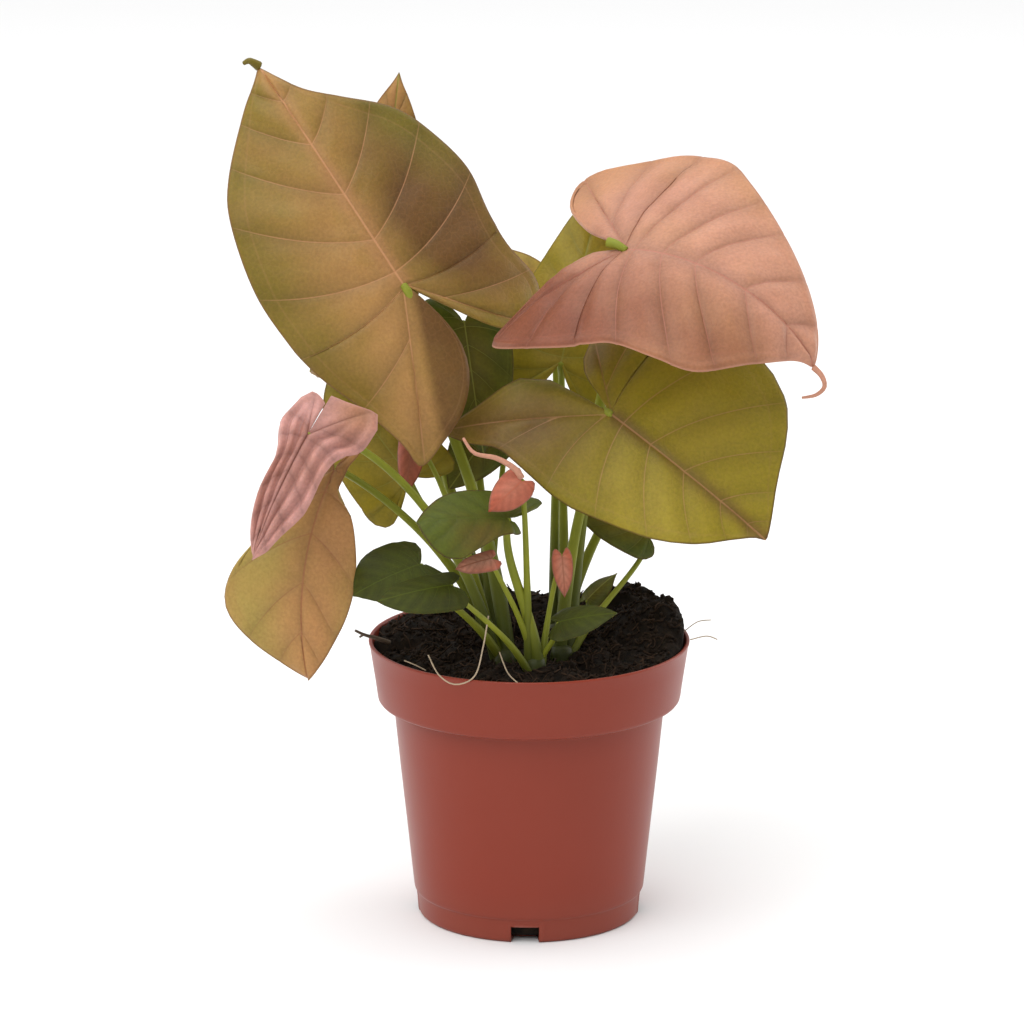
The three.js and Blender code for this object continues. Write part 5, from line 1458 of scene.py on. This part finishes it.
def peat_height(x, y):
    """A low dome, 103 + 2.75 (1 - r^2) with r the share of the way to the wall, sloped up to the right, with
    broad lumps, a bank along the rim at the rear and the left, a heap against the rim at the right, and
    clods and crumbs all over."""
    r = np.hypot(x, y) / 60
    turn = np.arctan2(y, x)
    lumps = np.sin(x * 0.31 + 1) * np.sin(y * 0.27 + 2) + 0.6 * np.sin(x * 0.62 + y * 0.4)
    height = 103 + 5.5 * (1 - r * r) * 0.5 + 0.035 * (x + 0.6 * y) + 1.5 * lumps * (1.1 - r)
    ragged = lattice_noise(x, y, 8, 5.0)
    bank = 4.5 * np.exp(-(((turn - 2.3) / 1.2) ** 4)) * smooth_step(r, 0.5, 0.85) * (1 + 0.25 * ragged)
    heap = 10 * np.exp(-(((turn - 0.5) / 0.66) ** 4)) * smooth_step(r, 0.4, 0.8) * (1 + 0.18 * ragged)
    height = height + np.maximum(bank, heap) + 1.3 * lattice_noise(x, y, 3, 6.0)
    return height + 0.9 * lattice_noise(x, y, 4, 3.0) + 0.5 * lattice_noise(x, y, 5, 1.5)


def peat_body():
    """The peat's top, which drops a little at the wall of the pot, and its sides, closed at the axis."""
    wall = np.array(PEAT_WALL)
    angle = np.arange(PEAT_SPOKES) * 2 * math.pi / PEAT_SPOKES
    radius = np.concatenate([np.linspace(0.6, PEAT_RADIUS, PEAT_RINGS), wall[:, 0]])[:, None]
    x, y = radius * np.cos(angle), radius * np.sin(angle)
    z = peat_height(x, y) - 0.5 * np.maximum(0, radius - 56)
    z[PEAT_RINGS:] = wall[:, 1:]
    points = np.stack([x, y, z], axis=-1).reshape(-1, 3)
    points = np.vstack([points, [[0, 0, peat_height(0.0, 0.0)], [0, 0, PEAT_WALL[-1][1]]]])
    faces = ring_faces(len(radius), PEAT_SPOKES, flip=True).tolist()
    faces += fan_faces(0, PEAT_SPOKES, len(points) - 2)
    faces += fan_faces((len(radius) - 1) * PEAT_SPOKES, PEAT_SPOKES, len(points) - 1, flip=True)
    return points, faces, np.zeros(len(points))


def crumb_field(rng, count):
    """Loose crumbs: eight-sided lumps of uneven size, turned at random and half sunk in the surface."""
    corners = np.array([[1, 0, 0], [-1, 0, 0], [0, 1, 0], [0, -1, 0], [0, 0, 1], [0, 0, -1]], float)
    sides = np.array([
        [0, 2, 4], [2, 1, 4], [1, 3, 4], [3, 0, 4], [2, 0, 5], [1, 2, 5], [3, 1, 5], [0, 3, 5],
    ])
    place = CRUMB_REACH * np.sqrt(rng.uniform(0, 1, count))
    turn = rng.uniform(0, 2 * math.pi, count)
    x, y = place * np.cos(turn), place * np.sin(turn)
    size = rng.uniform(0.5, 1.6, (count, 1, 3)) * rng.uniform(0.5, 1.25, (count, 1, 1))
    spin = np.linalg.qr(rng.normal(size=(count, 3, 3)))[0]
    spin[:, :, 0] *= np.sign(np.linalg.det(spin))[:, None]
    centre = np.stack([x, y, peat_height(x, y) + LITTER_RISE], axis=-1)
    points = np.einsum("nij,nkj->nki", spin, corners[None] * size) + centre[:, None]
    faces = (sides[None] + 6 * np.arange(count)[:, None, None]).reshape(-1, 3).tolist()
    return points.reshape(-1, 3), faces, np.repeat(rng.uniform(0, 0.35, count), 6)


def strand_field(rng, count):
    """Fibres lying on the peat: short bars along a bent line, some with one end lifted."""
    parts = []
    t = np.linspace(-0.5, 0.5, 6)
    for _ in range(count):
        place, turn = STRAND_REACH * math.sqrt(rng.uniform(0, 1)), rng.uniform(0, 2 * math.pi)
        heading, length = rng.uniform(0, 2 * math.pi), rng.uniform(3, 11)
        bend = heading + rng.uniform(-1.2, 1.2) * t
        x = place * math.cos(turn) + length * t * np.cos(bend)
        y = place * math.sin(turn) + length * t * np.sin(bend)
        inward = np.minimum(1, STRAND_LIMIT / np.maximum(np.hypot(x, y), 1))
        x, y = x * inward, y * inward
        lift = rng.uniform(0, 2.4) * np.maximum(0, t * 2) ** 2
        path = np.stack([x, y, peat_height(x, y) + LITTER_RISE + lift], axis=-1)
        points, faces, _ = tube(path, rng.uniform(0.14, 0.4), 4)
        parts.append((points, faces, np.full(len(points), rng.uniform(0.2, 1.0))))
    return parts


class PLANT_OT_peat(bpy.types.Operator):
    """Add the peat with its clods, crumbs and fibres."""
    bl_idname = "plant.peat"
    bl_label = "Peat"

    def execute(self, context):
        rng = np.random.default_rng(settings().seed)
        parts = [peat_body(), crumb_field(rng, settings().crumbs), *strand_field(rng, settings().strands)]
        points, faces, share = join(parts)
        add_piece("peat_bed", points, faces, peat_material(), "soil", dict(share=share))
        return {"FINISHED"}


class PLANT_OT_threads(bpy.types.Operator):
    """Add the loose root threads and the twig at the rim."""
    bl_idname = "plant.threads"
    bl_label = "Threads"

    def execute(self, context):
        roots = [tube(smooth_curve(path, 28), radius, 6) for path, radius in LOOSE_ROOTS]
        points, faces, _ = join(roots)
        add_piece("root_threads", points, faces, dry_material("dry_thread", 0.7))
        stem = tube(smooth_curve(TWIG, 20), np.linspace(1.0, 0.5, 20), 7)
        points, faces, _ = join([stem, tube(smooth_curve(TWIG_SHOOT, 8), 0.45, 6)])
        add_piece("twig", points, faces, dry_material("bark", 0.8))
        return {"FINISHED"}


# ---------------------------------------------------------------- stage
def add_lamp(name, place, aim, watts, size):
    """A square soft light at its place, turned towards its aim."""
    light = bpy.data.lights.new(name, "AREA")
    light.energy = watts
    light.size = size
    lamp = bpy.data.objects.new(name, light)
    lamp.location = place
    direction = unit(np.subtract(aim, place))
    lamp.rotation_euler = (math.acos(-direction[2]), 0, math.atan2(-direction[0], direction[1]))
    bpy.context.scene.collection.objects.link(lamp)


class PLANT_OT_stage(bpy.types.Operator):
    """Add the floor, the soft lights and the camera."""
    bl_idname = "plant.stage"
    bl_label = "Stage"

    def execute(self, context):
        scene = bpy.context.scene
        material, tree, shader = new_material("floor")
        set_inputs(tree, shader, {"Base Color": opaque(settings().floor_tint), "Roughness": 0.9})
        mesh = bpy.data.meshes.new("floor")
        low, high = -FLOOR_HALF_SIZE, FLOOR_HALF_SIZE
        corners = [(low, low, 0), (high, low, 0), (high, high, 0), (low, high, 0)]
        mesh.from_pydata(corners, [], [(0, 1, 2, 3)])
        mesh.materials.append(material)
        floor = bpy.data.objects.new("floor", mesh)
        scene.collection.objects.link(floor)
        scene.world = bpy.data.worlds.new("studio")
        scene.world.use_nodes = True
        sky = scene.world.node_tree.nodes["Background"]
        sky.inputs["Color"].default_value = (1.0, 1.0, 1.0, 1.0)
        sky.inputs["Strength"].default_value = SKY_STRENGTH
        for lamp in LAMPS:
            add_lamp(*lamp)
        camera_data = bpy.data.cameras.new("camera")
        camera_data.sensor_width = 36
        camera_data.lens = CAMERA_LENS
        camera = bpy.data.objects.new("camera", camera_data)
        camera.location = CAMERA_PLACE
        camera.rotation_euler = (rad(90 - CAMERA_DIP), 0, 0)
        scene.collection.objects.link(camera)
        scene.camera = camera
        scene.view_settings.view_transform = "Standard"
        return {"FINISHED"}


# ---------------------------------------------------------------- add-on
class PLANT_PT_panel(bpy.types.Panel):
    """Buttons for each group of pieces."""
    bl_label = "Arrowhead Plant"
    bl_idname = "PLANT_PT_panel"
    bl_space_type = "VIEW_3D"
    bl_region_type = "UI"
    bl_category = "Plant"

    def draw(self, context):
        for key in PlantSettings.__annotations__:
            self.layout.prop(context.scene.plant_settings, key)
        for operator in OPERATORS:
            self.layout.operator(operator.bl_idname)


OPERATORS = [
    PLANT_OT_stage, PLANT_OT_pot, PLANT_OT_peat, PLANT_OT_stalks, PLANT_OT_large_blades, PLANT_OT_back_blades,
    PLANT_OT_low_blades, PLANT_OT_young_blades, PLANT_OT_threads,
]
CLASSES = [PlantSettings, *OPERATORS, PLANT_PT_panel]


def register():
    for cls in CLASSES:
        bpy.utils.register_class(cls)
    bpy.types.Scene.plant_settings = bpy.props.PointerProperty(type=PlantSettings)


def unregister():
    del bpy.types.Scene.plant_settings
    for cls in reversed(CLASSES):
        bpy.utils.unregister_class(cls)


def main():
    register()
    for operator in OPERATORS:
        getattr(bpy.ops.plant, operator.bl_idname.split(".")[1])()
    bpy.context.view_layer.update()


if __name__ == "__main__":
    main()
